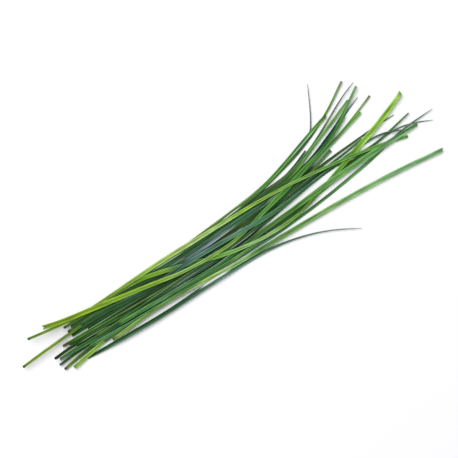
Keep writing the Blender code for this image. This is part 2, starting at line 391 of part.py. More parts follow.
class Layer:
    """A leaf being laid: its rings, heights and tilts so far and the height map of its upper face."""

    UNDERSIDE = (0, 1, 2, 3)
    UPPER = (4, 5, 6)

    def __init__(self, leaf, low, size):
        self.leaf = leaf
        self.low = low
        self.size = size
        self.rings, self.where, self.spans = flat_rings(leaf)
        self.own = own_tilt(leaf, self.spans)
        self.tilt = self.own.copy()
        self.height = None
        self.top = np.full(size, -np.inf)
        self.redraw()

    def redraw(self):
        """Work out the rings and the points of both faces again for the present tilt."""
        self.rings, self.where, self.spans = flat_rings(self.leaf, self.tilt)
        self.under, self.under_place = spread(self.rings, self.where, self.UNDERSIDE, 1.5, 0.5)
        self.upper, self.upper_place = spread(self.rings, self.where, self.UPPER, CELL, 0.3)

    def cells(self, points):
        """Return the rows and columns of the height map at these points."""
        columns = ((points[:, 0] - self.low[0]) / CELL).astype(int)
        rows = ((points[:, 1] - self.low[1]) / CELL).astype(int)
        return rows, columns

    def lifted(self, place):
        """Return the leaf's height at places counted in spans."""
        return np.interp(place, np.arange(self.spans + 1), self.height)

    def stamp(self):
        """Redraw the height map of the upper face, widened by one cell for room at the sides."""
        heights = self.upper[:, 2] + self.lifted(self.upper_place)
        rows, columns = self.cells(self.upper)
        self.top = np.full(self.size, -np.inf)
        for row in (-1, 0, 1):
            for column in (-1, 0, 1):
                np.maximum.at(self.top, (rows + row, columns + column), heights)

    def needed(self, others):
        """Return, for each point of the underside, the least height the leaf must have there."""
        rows, columns = self.cells(self.under)
        least = np.zeros(len(self.under))
        mine = level_at(self.leaf, self.under[:, 0])
        for other in others:
            if other is self or other.height is None:
                continue
            below = level_at(other.leaf, self.under[:, 0]) < mine
            tops = np.where(below, other.top[rows, columns] + CLEARANCE, -np.inf)
            least = np.maximum(least, tops)
        return least - self.under[:, 2]

    def settle(self, others, tilting):
        """Find the heights, and the tilts if tilting, of a thin strip resting on what is beneath."""
        count = self.spans + 1
        least = self.needed(others)
        points = np.arange(len(least))
        near = np.clip(self.under_place.astype(int), 0, self.spans - 1)
        share = self.under_place - near
        along = np.zeros((len(least), count))
        along[points, near] = 1.0 - share
        along[points, near + 1] += share
        across = along * self.under[:, 3][:, None] * (1.0 if tilting else 0.0)
        ends = np.zeros((2, 2 * count))
        ends[0, 0] = ends[1, count - 1] = 1.0
        reach = np.vstack([np.hstack([along, across]), ends])
        target = np.concatenate([least, self.leaf.lift])
        bend = np.zeros((count - 2, count))
        for i in range(count - 2):
            bend[i, i:i + 3] = (1.0, -2.0, 1.0)
        twist = np.zeros((count - 1, count))
        for i in range(count - 1):
            twist[i, i:i + 2] = (-1.0, 1.0)
        stiffness = np.zeros((2 * count, 2 * count))
        stiffness[:count, :count] = (BENDING_LENGTH / RING_SPACING) ** 3 * bend.T @ bend
        turning = TWIST_STIFFNESS * twist.T @ twist
        stiffness[count:, count:] = turning + TILT_STIFFNESS * np.eye(count)
        stiffness += 1e-6 * np.eye(2 * count)
        load = np.zeros(2 * count)
        load[:count] = -RING_SPACING / 10.0
        load[[0, count - 1]] *= 0.5
        load[count:] = turning @ (self.own - self.tilt) + TILT_STIFFNESS * (self.own - self.tilt)
        touching = np.ones(len(target), dtype=bool)
        for _ in range(SOLVER_STEPS):
            held = reach[touching]
            system = stiffness + CONTACT_STIFFNESS * held.T @ held
            answer = np.linalg.solve(system, load + CONTACT_STIFFNESS * held.T @ target[touching])
            wanted = target - reach @ answer > -1e-5
            if (wanted == touching).all():
                break
            touching = wanted
        worst = float((target - reach @ answer).max())
        height = answer[:count] + max(worst, 0.0)
        flat = (np.abs(height) < FLAT_BELOW) & (np.abs(self.tilt) < LEVEL_BELOW)
        height[flat] = 0.0
        return height, answer[count:]

    def lay(self, others, tilting):
        """Let the leaf sag, and tilt if tilting, onto what is beneath; return how far it moved."""
        before = self.height
        if tilting:
            _, turned = self.settle(others, True)
            self.tilt = np.clip(self.tilt + turned, -MOST_TILT, MOST_TILT)
            self.redraw()
        self.height, _ = self.settle(others, False)
        self.stamp()
        return np.inf if before is None else float(np.abs(self.height - before).max())

    def placed(self):
        """Return the rings with the leaf's heights added."""
        rings = self.rings[:, :, :3].copy()
        rings[:, :, 2] += self.lifted(self.where)[:, None]
        return rings


def lay_leaves():
    """Lay every leaf, lowest first, over and over until none of them moves, and return the rings."""
    paths = np.vstack([np.array(leaf.path)[:, :2] for leaf in LEAVES])
    low = paths.min(axis=0) - 5.0
    size = tuple(((paths.max(axis=0) + 5.0 - low) / CELL).astype(int)[::-1] + 1)
    layers = [Layer(leaf, low, size) for leaf in LEAVES]
    order = sorted(layers, key=lambda layer: level_at(layer.leaf, layer.rings[:, 1, 0]).mean())
    for sweep in range(TILTING_SWEEPS + SETTLING_SWEEPS):
        for layer in order:
            layer.lay(layers, sweep < TILTING_SWEEPS)
    return {layer.leaf.name: layer.placed() for layer in layers}


def leaf_material(leaf):
    """Return the plain material of one leaf."""
    material = bpy.data.materials.new(leaf.name.replace("leaf_", "blade_"))
    material.use_nodes = True
    shader = material.node_tree.nodes["Principled BSDF"]
    shader.inputs["Base Color"].default_value = (*TINTS[leaf.tint], 1.0)
    shader.inputs["Roughness"].default_value = 0.42
    return material


def leaf_object(leaf, rings, origin, collection):
    """Build one leaf as a closed solid of triangles, lofted through its rings."""
    mesh = bpy.data.meshes.new(leaf.name)
    shape = bmesh.new()
    rows = [[shape.verts.new((point - origin) * MM) for point in ring] for ring in rings]
    for row, after in zip(rows[:-1], rows[1:]):
        for i in range(7):
            j = (i + 1) % 7
            a, b, c, d = row[i], row[j], after[j], after[i]
            # The same way across above and below, so the two faces stay alike.
            if i < 3:
                shape.faces.new((a, b, c))
                shape.faces.new((a, c, d))
            else:
                shape.faces.new((a, b, d))
                shape.faces.new((b, c, d))
    for row, turned in ((rows[0], True), (rows[-1], False)):
        corners = ((0, 1, 6), (1, 5, 6), (1, 2, 5), (2, 4, 5), (2, 3, 4))
        for corner in corners:
            points = [row[i] for i in corner]
            shape.faces.new(points if turned else points[::-1])
    bmesh.ops.recalc_face_normals(shape, faces=shape.faces)
    shape.to_mesh(mesh)
    shape.free()
    for face in mesh.polygons:
        face.use_smooth = True
    mesh.materials.append(leaf_material(leaf))
    built = bpy.data.objects.new(leaf.name, mesh)
    collection.objects.link(built)
    return built


def main():
    """Clear the scene, lay the leaves and build them with the bunch's base centre at the origin."""
    for old in list(bpy.data.objects):
        bpy.data.objects.remove(old, do_unlink=True)
    collection = bpy.data.collections.new("garlic chive bunch")
    bpy.context.scene.collection.children.link(collection)
    laid = lay_leaves()
    points = np.vstack([rings.reshape(-1, 3) for rings in laid.values()])
    low, high = points.min(axis=0), points.max(axis=0)
    origin = np.array([0.5 * (low[0] + high[0]), 0.5 * (low[1] + high[1]), low[2]])
    for leaf in LEAVES:
        leaf_object(leaf, laid[leaf.name], origin, collection)


main()
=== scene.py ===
"""Garlic chive bunch: every leaf as a thin veined blade over its solid, on a pale floor in soft light."""

import logging
import math
from dataclasses import dataclass, field
from enum import Enum

import bpy
import numpy as np
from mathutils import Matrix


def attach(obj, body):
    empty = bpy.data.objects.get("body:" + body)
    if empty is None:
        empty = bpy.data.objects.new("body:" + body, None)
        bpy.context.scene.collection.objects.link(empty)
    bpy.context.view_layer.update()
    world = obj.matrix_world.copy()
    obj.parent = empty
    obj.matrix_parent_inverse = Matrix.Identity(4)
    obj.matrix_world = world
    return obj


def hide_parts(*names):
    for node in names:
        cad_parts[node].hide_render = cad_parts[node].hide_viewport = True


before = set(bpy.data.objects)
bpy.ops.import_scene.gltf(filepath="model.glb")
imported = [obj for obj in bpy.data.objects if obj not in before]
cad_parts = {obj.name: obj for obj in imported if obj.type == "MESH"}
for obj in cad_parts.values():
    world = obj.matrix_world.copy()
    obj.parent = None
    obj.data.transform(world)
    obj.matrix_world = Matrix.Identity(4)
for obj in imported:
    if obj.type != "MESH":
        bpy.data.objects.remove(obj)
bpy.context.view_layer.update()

LOG = logging.getLogger("garlic_chive_bunch")
MM = 0.001

Tree = bpy.types.NodeTree
Socket = bpy.types.NodeSocket
Colour = tuple[float, float, float, float]
Profile = tuple[tuple[float, float], ...]

# The bunch's own ruler: positions along it are given in mm, and this is the ruler's mark at x = 0.
RULER_AT_CENTRE = 139.53

# The light is set so that the white floor just burns out, as in a catalogue picture. A leaf in full
# light looks brighter than its own colour by as much, so the colours as seen are multiplied by this.
OWN_SHARE = 0.89
# The satin skin also mirrors a little of the white room, which is taken off the colours as seen.
GLOSS_VEIL = 0.008
DARKEST = 0.0015
# Light that is thrown from leaf to leaf deepens their green, so each is set a little duller.
DULLING = 0.05
# The shares of red, green and blue in how bright a colour looks.
BRIGHTNESS_SHARES = (0.21, 0.72, 0.07)


class End(Enum):
    """How a leaf ends: cut square, slanted or with a notch, rounded, or drawn out to a fine tip."""

    CUT = "cut"
    SLANTED = "slanted"
    NOTCHED = "notched"
    ROUND = "round"
    FINE = "fine"


def linear(code: str) -> Colour:
    """Turn an sRGB hex colour into the linear one that a shader takes.

    Args:
        code: Six hex digits, two each for red, green and blue.

    Returns:
        Red, green, blue and an alpha of 1.
    """
    parts = [int(code[i:i + 2], 16) / 255.0 for i in (0, 2, 4)]
    red, green, blue = (c / 12.92 if c <= 0.04045 else ((c + 0.055) / 1.055) ** 2.4 for c in parts)
    return red, green, blue, 1.0


def base_colour_from_seen(code: str) -> Colour:
    """Turn a colour as seen into the linear colour set on the shader, taking off the room's even light;
    painted light and shade in it stay.
    """
    *seen, alpha = linear(code)
    grey = sum(share * part for share, part in zip(BRIGHTNESS_SHARES, seen))
    dulled = (part + DULLING * (grey - part) for part in seen)
    own = (max(part * OWN_SHARE - GLOSS_VEIL, DARKEST) for part in dulled)
    return *own, alpha


def add_node(tree: Tree, kind: str, settings: dict | None = None,
             links: dict | None = None) -> bpy.types.Node:
    """Add a shader node with its settings and the links into it.

    Args:
        tree: The node tree that takes the node.
        kind: The shader node's type, such as Math or Mix.
        settings: Socket name or number, or attribute name, to its value.
        links: Socket name or number to the output socket that feeds it.

    Returns:
        The new node.
    """
    node = tree.nodes.new(f"ShaderNode{kind}")
    for key, value in (settings or {}).items():
        if isinstance(key, str) and hasattr(node, key):
            setattr(node, key, value)
        else:
            node.inputs[key].default_value = value
    for key, source in (links or {}).items():
        tree.links.new(source, node.inputs[key])
    return node


def remap(tree: Tree, value: Socket, source: tuple[float, float],
          target: tuple[float, float], style: str = "SMOOTHSTEP") -> Socket:
    """Map one range of a value onto another, with the ends held, and return the socket."""
    settings = {"interpolation_type": style, 1: source[0], 2: source[1], 3: target[0], 4: target[1]}
    return add_node(tree, "MapRange", settings, {0: value}).outputs[0]


def multiply(tree: Tree, first: Socket, second: Socket) -> Socket:
    """Multiply two sockets and return the product's socket."""
    return add_node(tree, "Math", {"operation": "MULTIPLY"}, {0: first, 1: second}).outputs[0]


def gap(tree: Tree, value: Socket, centre: float) -> Socket:
    """Work out how far a value is from a number and return the socket."""
    aside = add_node(tree, "Math", {"operation": "SUBTRACT", 1: centre}, {0: value})
    return add_node(tree, "Math", {"operation": "ABSOLUTE"}, {0: aside.outputs[0]}).outputs[0]


def deselect_all() -> None:
    """Leave object mode with nothing selected."""
    if bpy.context.object and bpy.context.object.mode != "OBJECT":
        bpy.ops.object.mode_set(mode="OBJECT")
    bpy.ops.object.select_all(action="DESELECT")


@dataclass(frozen=True)
class Streak:
    """A pale line along a leaf, where a margin or a crease catches the light.

    start and end are marks on the bunch's ruler, in mm; across runs from -1 at the right margin to 1
    at the left one, and width is a share of the half blade.
    """

    start: float
    end: float
    across: float
    colour: str
    strength: float = 0.85
    width: float = 0.6

    # The share of its length over which it sets in, and where across its width it starts to fade
    # and is gone.
    FADE_SHARE = 0.3
    CORE_SHARE = 0.15
    EDGE_SHARE = 0.5

    def lay(self, tree: Tree, line: "LeafLine", across: Socket, along: Socket, colour: Socket) -> Socket:
        """Lay the pale line over the leaf's colour.

        Args:
            tree: The material's node tree.
            line: The leaf's line, which turns marks on the ruler into shares.
            across: The socket with the place across the blade, 0 to 1.
            along: The socket with the share along the leaf.
            colour: The colour so far.

        Returns:
            The colour with the line laid over it.
        """
        start, end = line.share_at(self.start), line.share_at(self.end)
        fade = self.FADE_SHARE * (end - start)
        rise = remap(tree, along, (start, start + fade), (0.0, 1.0))
        fall = remap(tree, along, (end - fade, end), (self.strength, 0.0))
        far = gap(tree, across, 0.5 + 0.5 * self.across)
        near = remap(tree, far, (self.CORE_SHARE * self.width, self.EDGE_SHARE * self.width), (1.0, 0.0))
        amount = multiply(tree, multiply(tree, rise, fall), near)
        laid = add_node(tree, "Mix", {"data_type": "RGBA", 7: base_colour_from_seen(self.colour)},
                        {0: amount, 6: colour})
        return laid.outputs[2]


@dataclass(frozen=True)
class LeafTissue:
    """Fresh garlic chive leaf: smooth waxy skin over parallel veins, so a satin gloss with fine stripes.

    stops are (mark on the ruler in mm, colour of the left half, colour of the right half), from butt
    to tip, or (mark, colour) where the two halves of the creased blade look alike. The colours are
    the leaf's green with painted light and shade: the half turned to the light is set lighter than
    the other, and stretches that lie under other leaves are set darker.
    """

    stops: tuple[tuple[float, str] | tuple[float, str, str], ...]
    streaks: tuple[Streak, ...] = ()
    crease_softness: float = 0.22
    # How much lighter the margins are set, partly painted light, and how dark the painted shade along the
    # crease is.
    margin_gain: float = 0.46
    crease_shade_depth: float = 0.46
    vein_pitch_mm: float = 0.75
    vein_contrast: float = 0.42
    mottle: float = 0.46
    roughness: float = 0.40
    shine: float = 0.1
    bloom: float = 0.0
    bloom_tint: str = "C9D6DC"
    paling: float = 1.0

    # Towards the tips the tissue is thinner and lets more light through: marks on the ruler between
    # which the paling sets in, and how much red, green and blue gain by it.
    PALING_MARKS = (190.0, 255.0)
    PALING_GAIN = (0.8, 0.52, 0.85)
    # Long streaks of lighter and darker tissue, about 1 mm wide and 13 mm long.
    CLOUD = {"Scale": 1.1, "Detail": 3.0, "Roughness": 0.6}
    CLOUD_RANGE = (0.3, 0.7)
    STRETCH = (1.0, 0.07, 1.0)
    # At a scale of 1, Blender's wave texture repeats after this many units.
    WAVE_PITCH = 0.314
    WAVE = {"wave_type": "BANDS", "bands_direction": "X", "wave_profile": "SIN", "Distortion": 0.9,
            "Detail": 2.0, "Detail Scale": 0.6}
    # Where the lighter margins and the painted shade along the crease fade, as shares of the width from the
    # middle.
    MARGIN_RANGE = (0.34, 0.5)
    CREASE_SHADE_RANGE = (0.02, 0.13)
    # How much smoother and rougher the skin gets in places, and how deep the veins are.
    SMOOTHER = 0.06
    ROUGHER = 0.08
    RELIEF_STRENGTH = 0.35
    RELIEF_MM = 0.08
    SKIN_IOR = 1.42
    BLOOM_ROUGHNESS = 0.5

    def pale(self, colour: Colour, mark: float) -> Colour:
        """Return a colour as it looks at a mark on the ruler, paler towards the tips."""
        amount = self.paling * float(np.interp(mark, self.PALING_MARKS, (0.0, 1.0)))
        mixed = [part * (1.0 + amount * gain) for part, gain in zip(colour, self.PALING_GAIN)]
        return mixed[0], mixed[1], mixed[2], 1.0

    def ramp(self, tree: Tree, along: Socket, line: "LeafLine", side: int) -> Socket:
        """Add the colour ramp of one half of the blade.

        Args:
            tree: The material's node tree.
            along: The socket that gives the share along the leaf.
            line: The leaf's line, which turns marks on the ruler into shares.
            side: 1 for the left half, -1 for the right half, which is where a stop has its colour.

        Returns:
            The ramp's colour socket.
        """
        node = add_node(tree, "ValToRGB", {}, {"Fac": along})
        ramp = node.color_ramp
        ramp.interpolation = "EASE"
        places = [min(max(line.share_at(stop[0]), 0.0), 1.0) for stop in self.stops]
        while len(ramp.elements) < len(places):
            ramp.elements.new(0.5)
        for element, place, stop in zip(ramp.elements, places, self.stops):
            element.position = place
            element.color = self.pale(base_colour_from_seen(stop[side]), stop[0])
        return node.outputs["Color"]

    def build(self, name: str, line: "LeafLine") -> bpy.types.Material:
        """Make the leaf's material.

        Args:
            name: The leaf's own name.
            line: The line of the leaf that wears it.

        Returns:
            The new material.
        """
        material = bpy.data.materials.new(f"garlic_chive_leaf_{name}")
        material.use_nodes = True
        tree = material.node_tree
        shader = tree.nodes["Principled BSDF"]
        blade = add_node(tree, "UVMap", {"uv_map": "blade"})
        split = add_node(tree, "SeparateXYZ", {}, {0: blade.outputs["UV"]})
        across, along = split.outputs[0], split.outputs[1]
        real = add_node(tree, "UVMap", {"uv_map": "millimetres"})

        # The two halves of the creased blade, each with its own colours along the leaf, which carry painted
        # light and shade: the half turned to the light is set lighter.
        soft = 0.5 * self.crease_softness
        side = remap(tree, across, (0.5 - soft, 0.5 + soft), (0.0, 1.0))
        body = add_node(tree, "Mix", {"data_type": "RGBA"},
                        {0: side, 6: self.ramp(tree, along, line, -1), 7: self.ramp(tree, along, line, 1)})

        stretched = add_node(tree, "Mapping", {"Scale": self.STRETCH},
                             {"Vector": real.outputs["UV"]}).outputs[0]
        cloud = add_node(tree, "TexNoise", self.CLOUD, {"Vector": stretched}).outputs[0]
        tone = remap(tree, cloud, self.CLOUD_RANGE, (1.0 - self.mottle, 1.0 + self.mottle), "LINEAR")

        # Parallel veins. The real ones stand 0.2 to 0.3 mm apart, too fine for the picture, so they
        # are drawn about three times as far apart.
        comb = add_node(tree, "TexWave",
                        self.WAVE | {"Scale": self.WAVE_PITCH / self.vein_pitch_mm},
                        {"Vector": stretched}).outputs["Fac"]
        vein = remap(tree, comb, (0.0, 1.0), (1.0 - self.vein_contrast, 1.0 + self.vein_contrast), "LINEAR")

        # The margins are set lighter, partly for their thinner tissue and partly as painted light where they
        # let light through and catch it. The middle of the channel is set darker: painted shade in the
        # crease.
        out = gap(tree, across, 0.5)
        rim = remap(tree, out, self.MARGIN_RANGE, (1.0, 1.0 + self.margin_gain))
        crease_darkening = remap(tree, out, self.CREASE_SHADE_RANGE, (1.0 - self.crease_shade_depth, 1.0))
        value = multiply(tree, multiply(tree, tone, vein), multiply(tree, rim, crease_darkening))
        shaded = add_node(tree, "HueSaturation", {}, {"Value": value, "Color": body.outputs[2]})
        colour = shaded.outputs[0]
        for streak in self.streaks:
            colour = streak.lay(tree, line, across, along, colour)
        tree.links.new(colour, shader.inputs["Base Color"])

        gloss = remap(tree, cloud, (0.0, 1.0),
                      (self.roughness - self.SMOOTHER, self.roughness + self.ROUGHER), "LINEAR")
        tree.links.new(gloss, shader.inputs["Roughness"])
        relief = add_node(tree, "Bump",
                          {"Strength": self.RELIEF_STRENGTH, "Distance": self.RELIEF_MM * MM},
                          {"Height": comb})
        tree.links.new(relief.outputs[0], shader.inputs["Normal"])
        shader.inputs["IOR"].default_value = self.SKIN_IOR
        shader.inputs["Specular IOR Level"].default_value = self.shine
        shader.inputs["Sheen Weight"].default_value = self.bloom
        shader.inputs["Sheen Roughness"].default_value = self.BLOOM_ROUGHNESS
        shader.inputs["Sheen Tint"].default_value = linear(self.bloom_tint)
        return material


@dataclass(frozen=True)
class CutTissue:
    """Cut end of a leaf: moist spongy tissue between two skins, so paler and duller than the skin."""

    colour: str

    CELL_MM = 0.2
    TONE_RANGE = (0.75, 1.25)
    ROUGHNESS = 0.55

    def build(self, name: str) -> bpy.types.Material:
        """Make the material of the cut ends of the leaf of that name and return it."""
        material = bpy.data.materials.new(f"cut_leaf_tissue_{name}")
        material.use_nodes = True
        tree = material.node_tree
        shader = tree.nodes["Principled BSDF"]
        place = add_node(tree, "TexCoord")
        cells = add_node(tree, "TexNoise", {"Scale": 1.0 / (self.CELL_MM * MM), "Detail": 1.0},
                         {"Vector": place.outputs["Object"]})
        tone = remap(tree, cells.outputs[0], (0.0, 1.0), self.TONE_RANGE, "LINEAR")
        shade = add_node(tree, "HueSaturation", {"Color": base_colour_from_seen(self.colour)},
                         {"Value": tone})
        tree.links.new(shade.outputs[0], shader.inputs["Base Color"])
        shader.inputs["Roughness"].default_value = self.ROUGHNESS
        return material


@dataclass
class LeafLine:
    """The line that a leaf follows, read from slices of its solid, all in mm.

    middles are points on the leaf's middle, halves point from there to its left margin, and lengths
    are measured along it from the butt.
    """

    middles: np.ndarray
    halves: np.ndarray
    lengths: np.ndarray = field(init=False)

    STEP = 0.5
    SIDE_DEPTH = 0.35
    # No slice is taken this close to an end, and slices through an end face are left out, with this
    # much to spare in mm and in slices.
    END_GAP = 0.2
    SPARE_MM = 1.0
    SPARE_SLICES = 3
    # The line goes straight on to where the solid ends: how many steps give its direction, and how
    # far off the solid's own corners are looked for.
    RUN_STEPS = 16
    END_REACH = 14.0
    # The solids are thicker than leaves, so the leaves that replace them lie closer together, apart
    # from the butts, which stand free: marks on the ruler, share of the height kept.
    HEIGHT_MARKS = (-30.0, -5.0, 25.0, 190.0, 240.0, 290.0)
    HEIGHT_KEPT = (0.8, 1.2, 0.45, 0.34, 0.3, 0.42)

    def __post_init__(self) -> None:
        """Measure the line."""
        self.lengths = self.measured(self.middles)

    @classmethod
    def read(cls, solid: bpy.types.Object, smoothing: float) -> "LeafLine":
        """Slice a leaf's solid across the bunch and follow its two margins.

        Args:
            solid: The leaf's CAD object. All leaves run towards +X.
            smoothing: How far the line is evened out, in mm.

        Returns:
            The leaf's line.
        """
        count = len(solid.data.vertices)
        points = np.empty(3 * count)
        solid.data.vertices.foreach_get("co", points)
        points = points.reshape(-1, 3) / MM
        points[:, 2] *= np.interp(points[:, 0] + RULER_AT_CENTRE, cls.HEIGHT_MARKS, cls.HEIGHT_KEPT)
        ends = np.empty(2 * len(solid.data.edges), dtype=int)
        solid.data.edges.foreach_get("vertices", ends)
        first, second = points[ends[0::2]], points[ends[1::2]]
        swap = first[:, 0] > second[:, 0]
        first[swap], second[swap] = second[swap].copy(), first[swap].copy()
        stations = np.arange(points[:, 0].min() + cls.END_GAP, points[:, 0].max() - cls.END_GAP, cls.STEP)
        left, right = [], []
        for station in stations:
            hit = (first[:, 0] <= station) & (second[:, 0] > station)
            low, high = first[hit], second[hit]
            share = (station - low[:, 0]) / (high[:, 0] - low[:, 0])
            cut = low + (high - low) * share[:, None]
            for margin, sign in ((left, 1.0), (right, -1.0)):
                reach = (sign * cut[:, 1]).max()
                side = cut[sign * cut[:, 1] > reach - cls.SIDE_DEPTH]
                margin.append((station, sign * reach, 0.5 * (side[:, 2].min() + side[:, 2].max())))
        return cls.from_margins(np.array(left), np.array(right), points, smoothing)

    @classmethod
    def from_margins(cls, left: np.ndarray, right: np.ndarray, points: np.ndarray,
                     smoothing: float) -> "LeafLine":
        """Turn two margins into an even, smoothed line with its ends where the solid ends.

        Args:
            left: Points on the left margin.
            right: Points on the right margin, one for each on the left.
            points: All corners of the solid.
            smoothing: How far the line is evened out, in mm.

        Returns:
            The leaf's line.
        """
        middles = 0.5 * (left + right)
        tangents = cls.unit(np.gradient(middles, axis=0))
        spans = left - right
        slope = np.abs(tangents[:, 1])
        width = np.linalg.norm(spans, axis=1) * np.sqrt(1.0 - slope ** 2)
        # Near its ends a slice cuts the end face, so those slices are left out.
        skip = int(math.ceil((np.median(width) * 0.5 + cls.SPARE_MM) / cls.STEP))
        first, last = (max(skip, int(math.ceil(width[place] * slope[place] / cls.STEP)) + cls.SPARE_SLICES)
                       for place in (3 * skip, -3 * skip))
        inner = slice(first, len(middles) - last)
        middles, spans, tangents = middles[inner], spans[inner], tangents[inner]
        halves = 0.5 * (spans - (spans * tangents).sum(axis=1)[:, None] * tangents)
        for end, step in ((0, -1), (-1, 1)):
            run = cls.unit(middles[end] - middles[end - step * cls.RUN_STEPS])
            near = points[np.linalg.norm(points - middles[end], axis=1) < cls.END_REACH]
            reach = ((near - middles[end]) @ run).max()
            new = middles[end] + run * reach
            middles = np.vstack([new, middles] if step < 0 else [middles, new])
            halves = np.vstack([halves[0], halves] if step < 0 else [halves, halves[-1]])
        lengths = cls.measured(middles)
        even = np.linspace(0.0, lengths[-1], int(lengths[-1] / cls.STEP) + 1)
        both = cls.between(even, lengths, np.hstack([middles, halves]))
        soft = cls.smoothed(both, smoothing / cls.STEP)
        return cls(soft[:, :3], soft[:, 3:])

    @staticmethod
    def measured(points: np.ndarray) -> np.ndarray:
        """Return how far along the line each of its points is, from 0."""
        steps = np.linalg.norm(np.diff(points, axis=0), axis=1)
        return np.concatenate(([0.0], np.cumsum(steps)))

    @staticmethod
    def between(places: np.ndarray, lengths: np.ndarray, rows: np.ndarray) -> np.ndarray:
        """Return rows for new places, between those that are known at the given lengths."""
        return np.column_stack([np.interp(places, lengths, column) for column in rows.T])

    @staticmethod
    def unit(vectors: np.ndarray) -> np.ndarray:
        """Scale vectors to a length of 1."""
        return vectors / np.linalg.norm(vectors, axis=-1, keepdims=True)

    @staticmethod
    def smoothed(rows: np.ndarray, sigma: float) -> np.ndarray:
        """Even out rows of numbers, with both ends held where they are.

        Args:
            rows: One row for each step.
            sigma: The width of the smoothing, in steps.

        Returns:
            As many smoothed rows.
        """
        reach = min(int(3 * sigma), len(rows) - 2)
        kernel = np.exp(-0.5 * (np.arange(-reach, reach + 1) / sigma) ** 2)
        kernel /= kernel.sum()
        padded = np.vstack([2 * rows[0] - rows[reach:0:-1], rows, 2 * rows[-1] - rows[-2:-reach - 2:-1]])
        return np.column_stack([np.convolve(column, kernel, mode="valid") for column in padded.T])

    @property
    def length(self) -> float:
        """Return the leaf's length in mm."""
        return float(self.lengths[-1])

    def share_at(self, mark: float) -> float:
        """Return the share along the leaf at a mark on the bunch's ruler, in mm."""
        return float(np.interp(mark - RULER_AT_CENTRE, self.middles[:, 0], self.lengths)) / self.length

    def at(self, places: np.ndarray) -> tuple[np.ndarray, np.ndarray, np.ndarray]:
        """Return the middles, directions and half widths at places along the leaf.

        Args:
            places: Distances from the butt in mm; those past an end go straight on.

        Returns:
            Points, unit directions and vectors to the left margin, a row for each place.
        """
        inside = np.clip(places, 0.0, self.length)
        directions = self.unit(np.gradient(self.middles, axis=0))
        point, run, half = (self.between(inside, self.lengths, rows)
                            for rows in (self.middles, directions, self.halves))
        run = self.unit(run)
        return point + run * (places - inside)[:, None], run, half


@dataclass
class BladeTemplate:
    """A plain blade, 1 long, 2 wide and 2 thick, divided into rings and lanes and ready to be shaped."""

    rings: int = 150
    lanes: int = 10

    # An edge runs along an axis if this share of its length does.
    ALIGNED = 0.9

    def build(self) -> bpy.types.Object:
        """Model the blade from a block and return its object."""
        deselect_all()
        bpy.ops.mesh.primitive_cube_add(size=1.0, location=(0.5, 0.0, 0.0))
        block = bpy.context.object
        block.name = "blade_template"
        block.scale = (1.0, 2.0, 2.0)
        bpy.ops.object.transform_apply(location=True, rotation=False, scale=True)
        self.divide(block, axis=0, cuts=self.rings - 1)
        self.divide(block, axis=1, cuts=self.lanes - 1)
        return block

    def divide(self, block: bpy.types.Object, axis: int, cuts: int) -> None:
        """Cut all edges that run along one axis into even parts.

        Args:
            block: The object to divide.
            axis: 0 for X, 1 for Y.
            cuts: How many cuts each edge gets.
        """
        bpy.ops.object.mode_set(mode="EDIT")
        bpy.ops.mesh.select_mode(type="EDGE")
        bpy.ops.mesh.select_all(action="DESELECT")
        bpy.ops.object.mode_set(mode="OBJECT")
        places = [vertex.co for vertex in block.data.vertices]
        for edge in block.data.edges:
            run = places[edge.vertices[1]] - places[edge.vertices[0]]
            edge.select = abs(run[axis]) > self.ALIGNED * run.length
        bpy.ops.object.mode_set(mode="EDIT")
        bpy.ops.mesh.subdivide(number_cuts=cuts)
        bpy.ops.object.mode_set(mode="OBJECT")


